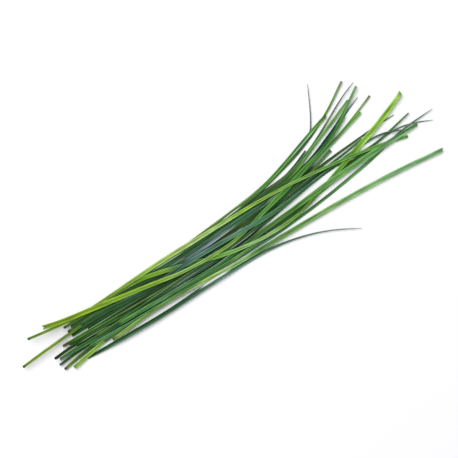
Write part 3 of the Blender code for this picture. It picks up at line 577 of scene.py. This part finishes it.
@dataclass
class Leaf:
    """One leaf of the bunch: a thin blade creased along its middle, laid along its solid's line.

    crease is how deep the channel is as a share of the width. lifts are (mark on the ruler, mm), how
    far the leaf stands off the floor there beyond its solid, and widths are (mark on the ruler,
    share of the solid's width).
    """

    node: str
    slot: str
    tissue: LeafTissue
    butt: End = End.ROUND
    tip: End = End.CUT
    crease: float = 0.14
    thickness_mm: float = 0.42
    twist_degrees: float = 5.0
    twist_length_mm: float = 45.0
    smoothing_mm: float = 3.5
    cut_colour: str = "7F9A5A"
    lifts: Profile = ((0.0, 0.0),)
    widths: Profile = ((0.0, 1.0),)

    END_RINGS = 10
    END_LENGTH_MM = 3.0
    # A slant or a notch dies out over this many half widths and this much more.
    FADE_HALVES = 3.0
    FADE_MM = 1.0
    NOTCH_MM = 1.3
    SLANT = 0.45
    # A rounded end's length in half widths, and the share of the width that its very end keeps.
    ROUND_HALVES = 0.9
    ROUND_KEPT = 0.35
    # A fine tip's length, the share of the width that its very end keeps, and how full its sides are.
    FINE_MM = 6.0
    FINE_KEPT = 0.45
    FINE_POWER = 0.7
    # The twist is drawn at knots, read finer by this factor, and evened out over this many readings.
    TWIST_READINGS = 8
    TWIST_EVENED = 11
    # The channel's steepness, and how far the blade lies below its line as a share of the width.
    CREASE_POWER = 1.4
    HEIGHT_SHARE = 0.07
    # A narrow blade is thinner: share of the thickness at no width, and its gain for each mm.
    SLIM_START = 0.45
    SLIM_GAIN = 0.25
    MARGIN_THINNING = 0.72
    FLOOR_GAP_MM = 0.02
    # Each leaf takes its pattern from another place, this far on for each seed.
    PATTERN_STEP_MM = 40.0
    SMOOTH_DEGREES = 55.0
    # The corners of an end face lie this close to one share along the leaf.
    END_FACE_SPREAD = 1e-4

    def build(self, template: bpy.types.Object, seed: int) -> None:
        """Make the leaf from a copy of the template, riding on the bunch's body.

        Args:
            template: The plain blade.
            seed: The leaf's place in the list, which sets its twist and where its pattern starts.
        """
        line = LeafLine.read(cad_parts[self.node], self.smoothing_mm)
        name = self.node.removeprefix("leaf_")
        mesh = template.data.copy()
        mesh.name = f"{self.node}_blade"
        blade = bpy.data.objects.new(f"{self.node}_blade", mesh)
        bpy.context.scene.collection.objects.link(blade)
        self.shape(mesh, line, seed)
        mesh.materials.append(self.tissue.build(name, line))
        mesh.materials.append(CutTissue(self.cut_colour).build(name))
        self.finish_faces(blade)
        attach(blade, "root")
        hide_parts(self.node)
        LOG.info("leaf %s: %.0f mm long", self.node, line.length)

    def ring_places(self, length: float, rings: int) -> np.ndarray:
        """Return the distance of each ring from the butt, with more rings near both ends."""
        ends = np.linspace(0.0, self.END_LENGTH_MM, self.END_RINGS + 1)
        inner = np.linspace(self.END_LENGTH_MM, length - self.END_LENGTH_MM,
                            rings - 2 * self.END_RINGS + 1)
        return np.concatenate((ends[:-1], inner, length - ends[-2::-1]))

    def end_shape(self, end: End, distance: np.ndarray, across: np.ndarray,
                  half: float) -> tuple[np.ndarray, np.ndarray]:
        """Work out how one end of the leaf is drawn back and narrowed.

        Args:
            end: The kind of end.
            distance: How far each point is from that end, in mm.
            across: Its place across the blade, from -1 to 1.
            half: Half the blade's width there, in mm.

        Returns:
            How far each point is drawn back, in mm, and the share of the width that is left.
        """
        fade = np.clip(1.0 - distance / (self.FADE_HALVES * half + self.FADE_MM), 0.0, 1.0)
        back = np.zeros_like(distance)
        narrow = np.ones_like(distance)
        if end is End.SLANTED:
            back = self.SLANT * half * (1.0 - across) * fade
        elif end is End.NOTCHED:
            back = self.NOTCH_MM * (1.0 - np.abs(across)) * fade
        elif end is End.ROUND:
            near = np.clip(distance / (self.ROUND_HALVES * half), 0.0, 1.0)
            narrow = self.ROUND_KEPT + (1.0 - self.ROUND_KEPT) * np.sqrt(1.0 - (1.0 - near) ** 2)
        elif end is End.FINE:
            near = np.clip(distance / self.FINE_MM, 0.0, 1.0)
            narrow = self.FINE_KEPT + (1.0 - self.FINE_KEPT) * near ** self.FINE_POWER
        return back, narrow

    def twist(self, places: np.ndarray, length: float, seed: int) -> np.ndarray:
        """Return the leaf's own slow twist at each place, in radians."""
        chance = np.random.default_rng(seed)
        knots = np.arange(-self.twist_length_mm, length + 2 * self.twist_length_mm, self.twist_length_mm)
        turns = chance.normal(0.0, 1.0, len(knots))
        fine = np.linspace(knots[0], knots[-1], self.TWIST_READINGS * len(knots))
        rough = np.interp(fine, knots, turns)
        kernel = np.hanning(self.TWIST_EVENED)
        soft = np.convolve(rough, kernel / kernel.sum(), mode="same")
        return math.radians(self.twist_degrees) * np.interp(places, fine, soft)

    def shape(self, mesh: bpy.types.Mesh, line: LeafLine, seed: int) -> None:
        """Move the template's points to their places and write both UV maps.

        Args:
            mesh: The leaf's copy of the template.
            line: The line that the leaf follows.
            seed: The leaf's place in the list.
        """
        unit = np.empty(3 * len(mesh.vertices))
        mesh.vertices.foreach_get("co", unit)
        unit = unit.reshape(-1, 3)
        rings = BladeTemplate.rings
        spots = self.ring_places(line.length, rings)
        places = spots[np.rint(unit[:, 0] * rings).astype(int)]
        across = unit[:, 1]
        butt_half, tip_half = (np.linalg.norm(line.halves[end]) for end in (0, -1))
        back, narrow = self.end_shape(self.butt, places, across, butt_half)
        drawn, thin = self.end_shape(self.tip, line.length - places, across, tip_half)
        moved = places + back - drawn
        middle, run, half = line.at(moved)
        marks = middle[:, 0] + RULER_AT_CENTRE
        middle[:, 2] += np.interp(marks, *zip(*self.lifts))
        narrow = narrow * thin * np.interp(marks, *zip(*self.widths))
        width = 2.0 * np.linalg.norm(half, axis=1)
        aside = LeafLine.unit(half)
        up = np.cross(run, aside)
        turn = self.twist(moved, line.length, seed)[:, None]
        aside, up = aside * np.cos(turn) + up * np.sin(turn), up * np.cos(turn) - aside * np.sin(turn)
        bend = self.crease * width * narrow * (np.abs(across) ** self.CREASE_POWER - 0.5)
        slim = np.minimum(1.0, self.SLIM_START + self.SLIM_GAIN * width)
        skin = 0.5 * self.thickness_mm * slim * (1.0 - self.MARGIN_THINNING * across ** 4)
        height = bend + skin * unit[:, 2] - self.HEIGHT_SHARE * width
        points = middle + aside * (across * narrow * 0.5 * width)[:, None] + up * height[:, None]
        points[:, 2] = np.maximum(points[:, 2], self.FLOOR_GAP_MM)
        mesh.vertices.foreach_set("co", (points * MM).ravel())
        corners = np.empty(len(mesh.loops), dtype=int)
        mesh.loops.foreach_get("vertex_index", corners)
        while mesh.uv_layers:
            mesh.uv_layers.remove(mesh.uv_layers[0])
        shares = np.column_stack([0.5 + 0.5 * across, moved / line.length])
        sizes = np.column_stack([across * 0.5 * width + self.PATTERN_STEP_MM * seed, moved])
        for name, values in (("blade", shares), ("millimetres", sizes)):
            layer = mesh.uv_layers.new(name=name)
            layer.data.foreach_set("uv", values[corners].ravel())
        mesh.update()

    def finish_faces(self, blade: bpy.types.Object) -> None:
        """Shade the blade smooth and give its two end faces the cut tissue."""
        mesh = blade.data
        deselect_all()
        blade.select_set(True)
        bpy.context.view_layer.objects.active = blade
        bpy.ops.object.shade_smooth_by_angle(angle=math.radians(self.SMOOTH_DEGREES))
        uv = np.empty(2 * len(mesh.loops))
        mesh.uv_layers["blade"].data.foreach_get("uv", uv)
        along = uv.reshape(-1, 2)[:, 1]
        half_ring = 0.5 / BladeTemplate.rings
        for face in mesh.polygons:
            shares = along[face.loop_start:face.loop_start + face.loop_total]
            at_end = shares.max() < half_ring or shares.min() > 1.0 - half_ring
            if at_end and shares.max() - shares.min() < self.END_FACE_SPREAD:
                face.material_index = 1


# Every leaf of the bunch, with its colours at marks on the bunch's ruler: its green with painted light
# and shade, lighter where it faces the light and darker where it lies under other leaves.
LEAVES: tuple[Leaf, ...] = (
    Leaf("leaf_yellow_edge", "leaf_yellow", LeafTissue((
        (-17, "3F5522"), (-14, "789A40", "6C9038"), (-4, "84A448", "749A38"), (10, "7A9E1C", "7FA21C"),
        (40, "7A9B2E", "6F922C"), (60, "84AA40", "7AA234"), (85, "9CC455", "93BE4A"),
        (100, "A4C45E", "98BC52"), (118, "A4C462", "AACB80"), (135, "A6C86A", "9CC674"),
        (160, "93BE3F", "8FBB42"), (180, "7EAA44", "82B04A"), (200, "74A448", "7EAE54"),
        (215, "6F9F48", "74A850"), (232, "6AA048", "5F9440"), (248, "5E9E3C", "68A448"),
        (275, "64A24A", "5C9A40"), (282, "62A048", "5A963E"), (284.4, "4A5F30", "4A5A2E")),
        paling=0.0), tip=End.ROUND,
        widths=((70, 1), (85, 1.12), (105, 1.12), (125, 1), (140, 0.9), (165, 0.9), (190, 1))),
    Leaf("leaf_lime_long", "leaf_lime", LeafTissue((
        (-3, "6F8F30", "6A8A2C"), (0, "7C9D24", "789A20"), (25, "7CA010", "84A61C"), (45, "8CB02C", "78A61C"),
        (75, "8AB42C", "76A31E"), (90, "8FBA50", "74A43C"), (102, "8CB45E", "749C42"),
        (112, "90B868", "7AA650"), (125, "84AE50", "78A644"), (140, "7CA644", "76A24A"),
        (152, "6FAC4A", "5FA040"), (165, "5C9A4A", "5F9F42"), (175, "64A046", "589636"),
        (195, "549238", "488434"), (218, "568E3A", "488032"), (230, "3A7430", "488640"),
        (245, "468038", "508646"), (254.3, "4F8040", "4A7A3C")), paling=0.3),
        butt=End.NOTCHED, tip=End.SLANTED,
        widths=((60, 1), (75, 1.12), (92, 1.12), (105, 1), (195, 1), (225, 0.86))),
    # leaf_lime_sweep: its darker stretches from mark 98 to 117 and about mark 200 are painted shade, where it
    # passes under other leaves.
    Leaf("leaf_lime_sweep", "leaf_lime", LeafTissue((
        (8.7, "2F4A2A"), (13, "4C6F40", "456A38"), (50, "6A9040", "5A8038"), (65, "7A9F40", "6A9030"),
        (73, "6E9A18", "5F8F14"), (82, "78A42C", "669420"), (90, "8AB44A", "709C30"),
        (98, "5F8A50", "3F6F18"), (108, "47761A", "376412"), (117, "4F8520", "4A8020"),
        (126, "629838", "669C38"), (138, "82B45E", "76AA56"), (150, "96BE78", "86B26C"),
        (168, "90B868", "80B05E"), (182, "80A84C", "6E9E3C"), (200, "5F8F30", "4A7F2C"),
        (225, "5F9A34", "4A8A2C"), (245, "6FA434", "6AA02C"), (262, "88BA44", "90C044"),
        (284, "8EC23C", "8CBE40"), (292, "A8D064", "9CCA54"), (296.2, "7A9A48", "6F8F40")), paling=0.0),
        tip=End.SLANTED, widths=((150, 1), (165, 1.08), (178, 1), (192, 0.66), (212, 0.85), (230, 1))),
    Leaf("leaf_blue_arc", "leaf_blue", LeafTissue((
        (20.3, "3A5A40", "35553A"), (24, "446C40", "335A30"), (50, "3F6A3C", "335A34"),
        (65, "3A6A44", "2F5A34"), (80, "3F5F4A", "2F4F38"), (92, "42664F", "335640"),
        (101, "486F5C", "426A50"), (112, "5C8272", "56806A"), (130, "567F6A", "4A785A"),
        (148, "668C74", "527F60"), (165, "567F5F", "467850"), (180, "4F7F52", "3F6F42"),
        (200, "44704F", "35603A"), (212, "5A8068", "35603A"), (225, "3A6A40", "2A5530"),
        (240, "3C6A3F", "2F5A32"), (270, "3F5F48", "3A5A40"), (283.5, "4A6450")), bloom=0.08, roughness=0.44),
        butt=End.CUT, tip=End.ROUND, crease=0.10, widths=((185, 1), (205, 0.8), (222, 0.6), (238, 0.8))),
    # leaf_blue_wide: the grey-violet right half from mark 110 to 138 is painted sheen, where the lower flank
    # catches the light.
    Leaf("leaf_blue_wide", "leaf_blue", LeafTissue((
        (13, "3A5A24"), (30, "3F6524", "3A6226"), (60, "3A5F2C", "2F5526"), (90, "3F6A45", "355A40"),
        (101, "45684C", "34503A"), (110, "476C50", "5C746C"), (130, "4A765A", "7C8A94"),
        (138, "507860", "788C88"), (145, "4C7458", "4C6E58"), (152, "4A7C58", "3A6842"),
        (165, "427255", "3C6044"), (180, "3A5F3C", "5A7F5C"), (222, "3F5F30", "4F7F45"),
        (240, "446D30", "4F8040"), (252, "3F6E28", "4E8C44"), (260, "4F8A34", "659648"),
        (265.1, "5A8A3A", "6F9C50")), bloom=0.08, roughness=0.44,
        streaks=(Streak(118, 150, -0.9, "B4BEC6", 0.7, 0.3), Streak(94, 108, 0.3, "A8BCA8", 0.8, 0.22),
                 Streak(175, 189, 0.15, "B4CCB0", 0.85, 0.2))), widths=((200, 1), (230, 0.82))),
    Leaf("leaf_dull_inner", "leaf_dull", LeafTissue((
        (9.4, "2A3A18"), (14, "5A7F30", "4F7A28"), (50, "5A8540", "4A7538"), (80, "3F6A40", "3A6038"),
        (110, "3F6A3A", "2F5530"), (150, "44683A", "335832"), (190, "4A6A3A", "3A6030"),
        (199, "3F5F28", "4F7F38"), (208, "4F8038", "5F9444"), (216, "6A9C58", "4F8038"),
        (225, "66A048", "4F8A4C"), (240, "66A04C", "3F7A2C"), (250, "5A8A44", "5E8E4C"),
        (258, "689A50", "5E9048"), (262.2, "5A8A48", "568444")),
        streaks=(Streak(80, 110, 0.6, "C4DAC0", 0.85, 0.25),)), widths=((180, 1.14), (215, 0.85))),
    Leaf("leaf_dark_base", "leaf_dark", LeafTissue((
        (10.2, "2F5A28", "2A4F28"), (25, "3A642F", "2A5028"), (60, "2A4A2A", "2F5230"),
        (130, "2F5232", "2A4A2A"), (200, "2F5528", "2A4A24"), (230, "4A7A30", "3F6C2C"),
        (262, "6A944C", "608C44"), (270, "74945A", "6A8C52"), (276.8, "5F7448", "5A6E44")),
        paling=0.5), butt=End.CUT, widths=((225, 1), (240, 0.7), (262, 0.8), (270, 1))),
    Leaf("leaf_brown_butt", "leaf_dark", LeafTissue((
        (0.9, "5A5838"), (4.5, "4A4C24"), (7, "4A7A30", "24481C"), (20, "5A8A44", "2A4F22"),
        (40, "628854", "24421C"), (60, "628454", "1F3A18"), (80, "4A6A40", "2A4A22"),
        (120, "3F6530", "2F5528"), (200, "3A5F30", "2F5528"), (230, "3F5F34", "35552A"),
        (270, "4A6A40", "3F5F34"), (284.3, "5F705A")), paling=0.4),
        tip=End.FINE, widths=((215, 1), (230, 0.9)), cut_colour="6A5A3A"),
    Leaf("leaf_dark_crossing", "leaf_dark", LeafTissue((
        (84, "3F6540", "35583A"), (135, "3A6238", "2F5530"), (180, "3A6034", "2F5530"),
        (205, "3F7030", "3A6A2C"), (217, "24422C", "2A5030"), (230, "1F3528", "1F4530"),
        (242, "22382A", "1F4A2C"), (248, "2A4A30", "3F8A38"), (254, "3F7030", "4A8A3A"),
        (260, "568048", "4C8050"), (266, "648A54", "56804A"), (272.1, "74945F", "6A8C5A"))),
        widths=((200, 1), (214, 0.62), (225, 0.74), (236, 0.84))),
    Leaf("leaf_small_green", "leaf_bright", LeafTissue((
        (5.4, "2F4A20"), (12, "4F7F34", "24421A"), (40, "5A8A44", "2A4A20"), (60, "658A48", "2F4F24"),
        (100, "5A7A4A", "2A4422"), (128, "35552C", "284422"), (160, "34562C", "28441E"),
        (196, "345C26", "2C4C1E"), (212, "4F7F38", "3A6A2C"), (235, "3F7030", "2F5A28"),
        (265, "3A6034", "345A30"), (285, "4F704A", "486848"), (298, "708472"), (305.5, "8E9C90")),
        paling=0.6), tip=End.FINE),
    # leaf_near_black: the near-black stretch from mark 142 to 156 is painted shade, where this leaf lies low
    # between others.
    Leaf("leaf_near_black", "leaf_dark", LeafTissue((
        (-8, "2C3F22"), (2, "2F4C22", "345624"), (12, "345628", "28441E"), (35, "44693A", "1A3216"),
        (60, "3F6538", "1F3A1C"), (100, "55725A", "2F4F38"), (130, "3F5A44", "2F4A34"),
        (142, "1F2F1F", "1A281A"), (156, "1F2F22", "1A2A1C"), (168, "44704A", "3A6040"),
        (200, "446F44", "3F6A44"), (235, "3F6A3C", "35603A"), (245, "3F6A38", "2F5A2C"),
        (262, "396630", "305828"), (276, "487540", "3E6A36"), (285, "5C8050", "547848"),
        (293.6, "6C8260", "687A5C")), paling=0.5,
        streaks=(Streak(10, 38, -0.6, "7F9F70", 0.8, 0.5), Streak(86, 112, 0.5, "8FA890", 0.5))),
        tip=End.ROUND, cut_colour="2A3A1E"),
    Leaf("leaf_green_mid", "leaf_bright", LeafTissue((
        (24.3, "3F5F28"), (28, "6C923F", "46742B"), (42, "528243", "315A26"), (60, "4C7242", "24481F"),
        (90, "668A58", "2F5A2C"), (130, "4A6F40", "355A30"), (165, "4A7444", "35582F"),
        (195, "3A5F3C", "2A4A2C"), (230, "3A6A34", "2A5028"), (247, "4A7A48", "1F4520"),
        (255.8, "4A7A44", "3A6A38")),
        streaks=(Streak(134, 160, -0.8, "C8D4CC", 0.75, 0.25),
                 Streak(238, 256, 0.6, "8FB08F", 0.6))), widths=((200, 1), (225, 0.8))),
    Leaf("leaf_light_wide", "leaf_light", LeafTissue((
        (42.3, "2F5528"), (46, "5F9A48", "3F6F38"), (62, "66A050", "3F7040"), (80, "55854F", "5C8A5C"),
        (96, "5F8F60", "4A8242"), (112, "4A8040", "4F8A50"), (126, "6A9A74", "3F7038"),
        (150, "4F7F40", "3F6A34"), (175, "5A8A38", "4F8040"), (190, "589244", "3F7A2F"),
        (200, "559044", "5E923C"), (212, "6AA252", "559040"), (228, "70A658", "629C50"),
        (242, "6AA458", "609C54"), (256, "689E56", "5C9650"), (267, "669A54", "5E9056"),
        (275, "5C8A54", "76A870"), (286, "588C50", "70A468"), (294.6, "507248")), paling=0.2), tip=End.ROUND,
        widths=((150, 1), (165, 1.15), (190, 1))),
    Leaf("leaf_pale_butt", "leaf_light", LeafTissue((
        (-5.2, "5A7A58"), (2, "4A7A40", "3F6F38"), (15, "35652C", "3F7038"), (28, "3F6F3C", "3A6A44"),
        (42, "407450", "356240"), (60, "35603A", "2A5030"),
        (165, "2A4A2A", "24442A")), bloom=0.04), butt=End.CUT),
    Leaf("leaf_grey_butt", "leaf_dark", LeafTissue((
        (-7.2, "545A50"), (-4, "4F6450", "4A5A48"), (1, "4A7A48", "3A5A38"), (9, "2F5A2C", "2F5530"),
        (30, "244A26", "1F4424"), (124, "1F3F20"))), cut_colour="5A6058"),
    Leaf("leaf_olive_butt", "leaf_dull", LeafTissue((
        (-5.8, "4F4F44"), (-3.5, "6A8A3A", "608434"), (4, "6A8A3A", "4A6A2C"), (11, "5A7440", "3A5C20"),
        (22, "3F6A20", "335A1C"), (98, "2F5528"))), cut_colour="5A584C"),
    Leaf("leaf_green_low", "leaf_light", LeafTissue((
        (17.2, "4F7840", "3F6A30"), (30, "609058", "5C8C44"), (50, "609058", "5F9044"),
        (80, "5A8850", "5F8F4C"), (104, "457238", "527E40"), (122, "548045", "466E39"),
        (142, "6A9A48", "5A8A50"), (165, "558648", "4C7C48"), (200, "5A9A38", "4A8A30"),
        (245, "4F8A34", "3F7A2C")))),
    Leaf("leaf_dark_low", "leaf_dark", LeafTissue((
        (27.6, "4A6A50", "44624A"), (36, "3F6F3A", "356040"), (104, "3A6034", "2F5530"))), butt=End.CUT),
    Leaf("leaf_lime_to_fine", "leaf_lime", LeafTissue((
        (0.7, "7A9A40"), (4, "8AB048", "84A83C"), (16, "90B858", "84B040"), (26, "84AE54", "7AA44A"),
        (36, "7AA850", "6A9440"), (60, "5F9A3C", "558A38"), (110, "4F8040", "3A6038"),
        (158, "4C785C", "5C866C"), (176, "608E6C", "528256"), (200, "44703F", "548448"),
        (240, "4A7A44", "5A8A54"), (256, "5A8A50", "4F8048"), (280, "44684A", "3E6042"), (298, "5A7460"),
        (309.3, "829488")), paling=0.7), butt=End.CUT, tip=End.FINE,
        widths=((195, 1), (208, 1.14), (244, 1.14), (256, 1))),
    Leaf("leaf_light_lower", "leaf_light", LeafTissue((
        (33.2, "4F5030"), (34.8, "6A8038"), (39, "A0BE55", "7A9440"), (55, "84AA58", "6A9440"),
        (75, "668F4C", "648A54"), (100, "6A9050", "86A66A"), (114, "A0C868", "84B050"),
        (126, "B0D088", "8DB868"), (140, "90BC78", "74A65E"), (155, "629050", "609048"),
        (180, "659450", "689A4A"), (210, "80AE64", "7AAA5E"), (240, "8ABA76", "78AC64"),
        (270, "82B27A", "70A268"), (292, "84B27C", "72A46A"),
        (300, "6A985E")), paling=0.0), butt=End.CUT, tip=End.SLANTED,
        cut_colour="8A8A5A", lifts=((120, 0), (150, 1.4), (200, 1.8), (300, 1.5))),
    Leaf("leaf_lower_hair", "leaf_dark", LeafTissue((
        (11, "3A5A2C"), (17, "2A4A2C", "2F5535"), (30, "2C5430", "44744C"), (52, "284F2C", "44744A"),
        (80, "2F5530", "3A6545"), (105, "3F6548", "4A7058"), (130, "426E4E", "507A64"),
        (150, "466A4C", "6A8C78"), (165, "4F7058", "547860"), (180, "5A7A60"), (200, "6A8070"),
        (223, "9AA8A0")),
        paling=0.0, streaks=(Streak(102, 131, 0.6, "F4FCF6", 0.95, 0.6),), bloom=0.05),
        tip=End.FINE, lifts=((14, 0.6), (40, 2.2), (125, 2.2), (140, 1), (223, 1.4))),
    Leaf("leaf_upper_edge", "leaf_bright", LeafTissue((
        (70, "5F7F34", "4A7030"), (120, "6A8A38", "4F7F30"), (152, "6A8F3C", "3A6A28"),
        (166, "6A9444", "4F7A38"), (182, "5F9A40", "4A8A3A"), (195, "3F7A2C", "5FA040"),
        (206, "4F8A38", "5F9440"), (216, "3F6F34", "5F9458"), (225, "3F7F38", "66A058"),
        (232, "4A7A24", "4F8A3C"), (240, "4A7A28", "3F7030"), (243.2, "3F5F2A")),
        streaks=(Streak(141, 160, -0.85, "E0F0D4", 0.95, 0.5),
                 Streak(204, 232, -0.7, "C0DEB6", 0.8, 0.25))), tip=End.SLANTED),
    Leaf("leaf_kinked_hair", "leaf_grey", LeafTissue((
        (100, "5A7A50", "4A6A44"), (170, "5A7A60", "4A6A50"), (205, "4F7A4A", "406A40"),
        (226, "527050", "4A6848"), (230, "62726C", "5E6E68"), (236, "707E7C", "6C7A78"),
        (243.9, "98A09E")), paling=0.3, streaks=(Streak(141, 160, 0.2, "C4D8C0"),)),
        tip=End.FINE, smoothing_mm=1.6),
    Leaf("leaf_upper_second", "leaf_bright", LeafTissue((
        (108, "3F6A34", "35602C"), (160, "4A7A3A", "3F6A34"), (200, "5A8A44", "548648"),
        (225, "4A7A3C", "35602C"), (246, "5A803E", "4F7638"), (256, "6A9058", "608650"),
        (265.4, "728E60", "6A8658")), paling=0.8)),
    Leaf("leaf_curved_tip", "leaf_dull", LeafTissue((
        (112, "3F6534", "35582C"), (180, "4A6A3A", "3F6034"), (220, "4F8A40", "447A38"),
        (233, "4A7040", "426638"), (242, "607658", "587050"), (252, "566858", "526454"),
        (272.1, "788680")), paling=0.6), tip=End.FINE),
    Leaf("leaf_short_tip", "leaf_dark", LeafTissue((
        (128, "3A5A34", "2F4F2C"), (195, "3A5030", "344A2C"), (206, "2F4028", "2C3C28"),
        (214, "3A4A3A", "364638"), (218.2, "5A6460"))), tip=End.ROUND),
    Leaf("leaf_dark_fine", "leaf_dark", LeafTissue((
        (70, "2A4A2C", "244428"), (160, "2F4F30", "2A4A2C"), (210, "35603A", "2F5534"),
        (245, "3F7040", "3A683C"), (254, "4A7058", "466A54"), (261, "60766E", "5C726A"),
        (269.2, "7C8A84")), paling=0.5), tip=End.FINE),
    Leaf("leaf_far_butt", "leaf_dull", LeafTissue((
        (-30.2, "2A3F18"), (-27.5, "7A9438", "6F8A2F"), (-10, "84A038", "7A9A34"), (6, "7A9040", "6A8A34"),
        (13, "7A9A48", "4F8018"), (21, "6A9448", "3F7014"), (40, "4F7A38", "3F6A24"),
        (112, "3F5F38", "2C4222"), (124, "3C5430", "2A3A20"), (143, "4A6030", "3A4C28"),
        (154, "4A6634", "40562A"), (172, "34502C", "2F4A28"), (196, "3A5A38", "2F4F30"),
        (214, "2F4828", "4A6A3A"), (223, "628650", "4F7840"), (230, "4A7038", "568858"), (233.4, "4A6444")),
        paling=0.4)),
    # The four inner leaves fill deep gaps inside the bunch: their very dark colours are painted shade, the
    # shadow between the leaves around them.
    Leaf("leaf_inner_upper", "leaf_dark", LeafTissue((
        (22, "24442A", "1F3C22"), (222, "24442A", "1F3C22"))), butt=End.CUT),
    Leaf("leaf_inner_lower", "leaf_dark", LeafTissue((
        (9, "1F3F22", "1A361C"), (210, "24442A", "1F3C22"))), butt=End.CUT),
    Leaf("leaf_inner_middle", "leaf_dark", LeafTissue((
        (22, "1F3F22", "1A361C"), (60, "244020", "1F3A1C"), (140, "2F4018", "263614"),
        (160, "2F4A20", "243C1A"), (200, "1F4A24", "1A3A1C"), (226, "2F5A38", "2A5030"))), butt=End.CUT),
    Leaf("leaf_inner_far", "leaf_dark", LeafTissue((
        (172, "1F3F22", "1A361C"), (222, "3F6A1C", "3A6218"), (236, "3A6A1A", "2F5A16"),
        (244, "2A5A1A", "1F4A18"), (256, "1F4A20"), (270, "2A5528"))), butt=End.CUT),
)


@dataclass
class Bunch:
    """The whole bunch, leaf by leaf."""

    template: BladeTemplate = field(default_factory=BladeTemplate)

    def build(self) -> None:
        """Model the template, make every leaf from it and take it away again."""
        plain = self.template.build()
        for seed, leaf in enumerate(LEAVES, start=1):
            leaf.build(plain, seed)
        spare = plain.data
        bpy.data.objects.remove(plain, do_unlink=True)
        bpy.data.meshes.remove(spare)


@dataclass(frozen=True)
class PaleBoard:
    """White laminate board: matt and even, so the leaves' soft shadows show on it."""

    colour: str = "F7F7F8"
    roughness: float = 0.85

    def build(self) -> bpy.types.Material:
        """Make the floor's material and return it."""
        material = bpy.data.materials.new("white_laminate")
        material.use_nodes = True
        shader = material.node_tree.nodes["Principled BSDF"]
        shader.inputs["Base Color"].default_value = linear(self.colour)
        shader.inputs["Roughness"].default_value = self.roughness
        return material


@dataclass
class Floor:
    """The plain pale surface that the bunch lies on."""

    size_m: float = 6.0

    def build(self) -> None:
        """Make the floor, which is not attached to the bunch's body."""
        deselect_all()
        bpy.ops.mesh.primitive_plane_add(size=self.size_m)
        floor = bpy.context.object
        floor.name = "floor"
        floor.data.materials.append(PaleBoard().build())
        LOG.info("floor: %.0f m square", self.size_m)


@dataclass
class StudioLight:
    """Soft studio light: a large key from the picture's upper left and an even, faintly lilac fill."""

    key_power: float = 31.0
    key_size_m: float = 1.9
    key_distance_m: float = 1.76
    # Where the key stands, as shares up the picture, to its left and above the bunch.
    key_up: float = 0.72
    key_left: float = 0.62
    key_height: float = 1.6
    key_colour: str = "FFFFFF"
    fill_colour: str = "F7F5FA"
    fill_strength: float = 0.525

    def build(self, picture: "TopCamera") -> None:
        """Add the key light and the fill.

        Args:
            picture: The camera, whose up and right set where the key stands.
        """
        right, up = picture.right, picture.up
        toward = up * self.key_up - right * self.key_left + np.array([0.0, 0.0, self.key_height])
        lean = toward / np.linalg.norm(toward)
        place = lean * self.key_distance_m
        deselect_all()
        bpy.ops.object.light_add(type="AREA", location=place)
        key = bpy.context.object
        key.name = "key_light"
        key.data.energy = self.key_power
        key.data.shape = "DISK"
        key.data.size = self.key_size_m
        key.data.color = linear(self.key_colour)[:3]
        key.rotation_euler = (math.acos(lean[2]), 0.0, math.atan2(lean[0], -lean[1]))
        world = bpy.data.worlds.new("fill")
        bpy.context.scene.world = world
        world.use_nodes = True
        sky = world.node_tree.nodes["Background"]
        sky.inputs["Color"].default_value = linear(self.fill_colour)
        sky.inputs["Strength"].default_value = self.fill_strength
        bpy.context.scene.view_settings.view_transform = "Standard"
        LOG.info("light: key and fill")


@dataclass
class TopCamera:
    """The camera: straight above the bunch, with the bunch running up to the picture's right."""

    turn_degrees: float = 32.0
    aim_mm: tuple[float, float, float] = (3.87, -4.0, 4.0)
    view_mm: float = 320.6
    lens_mm: float = 100.0
    sensor_mm: float = 36.0

    @property
    def right(self) -> np.ndarray:
        """Return the direction that is right in the picture."""
        turn = math.radians(self.turn_degrees)
        return np.array([math.cos(turn), -math.sin(turn), 0.0])

    @property
    def up(self) -> np.ndarray:
        """Return the direction that is up in the picture."""
        turn = math.radians(self.turn_degrees)
        return np.array([math.sin(turn), math.cos(turn), 0.0])

    def build(self) -> None:
        """Add the camera and make it the scene's."""
        data = bpy.data.cameras.new("top_camera")
        data.lens = self.lens_mm
        data.sensor_width = self.sensor_mm
        camera = bpy.data.objects.new("top_camera", data)
        bpy.context.scene.collection.objects.link(camera)
        away = self.view_mm * self.lens_mm / self.sensor_mm
        aim = np.array(self.aim_mm) + np.array([0.0, 0.0, away])
        camera.location = aim * MM
        camera.rotation_euler = (0.0, 0.0, -math.radians(self.turn_degrees))
        bpy.context.scene.camera = camera
        LOG.info("camera: %.0f mm above the bunch", away)


def main() -> None:
    """Build the bunch, the floor, the camera and the light."""
    logging.basicConfig(level=logging.INFO, format="%(message)s")
    picture = TopCamera()
    picture.build()
    Bunch().build()
    Floor().build()
    StudioLight().build(picture)


if __name__ == "__main__":
    main()
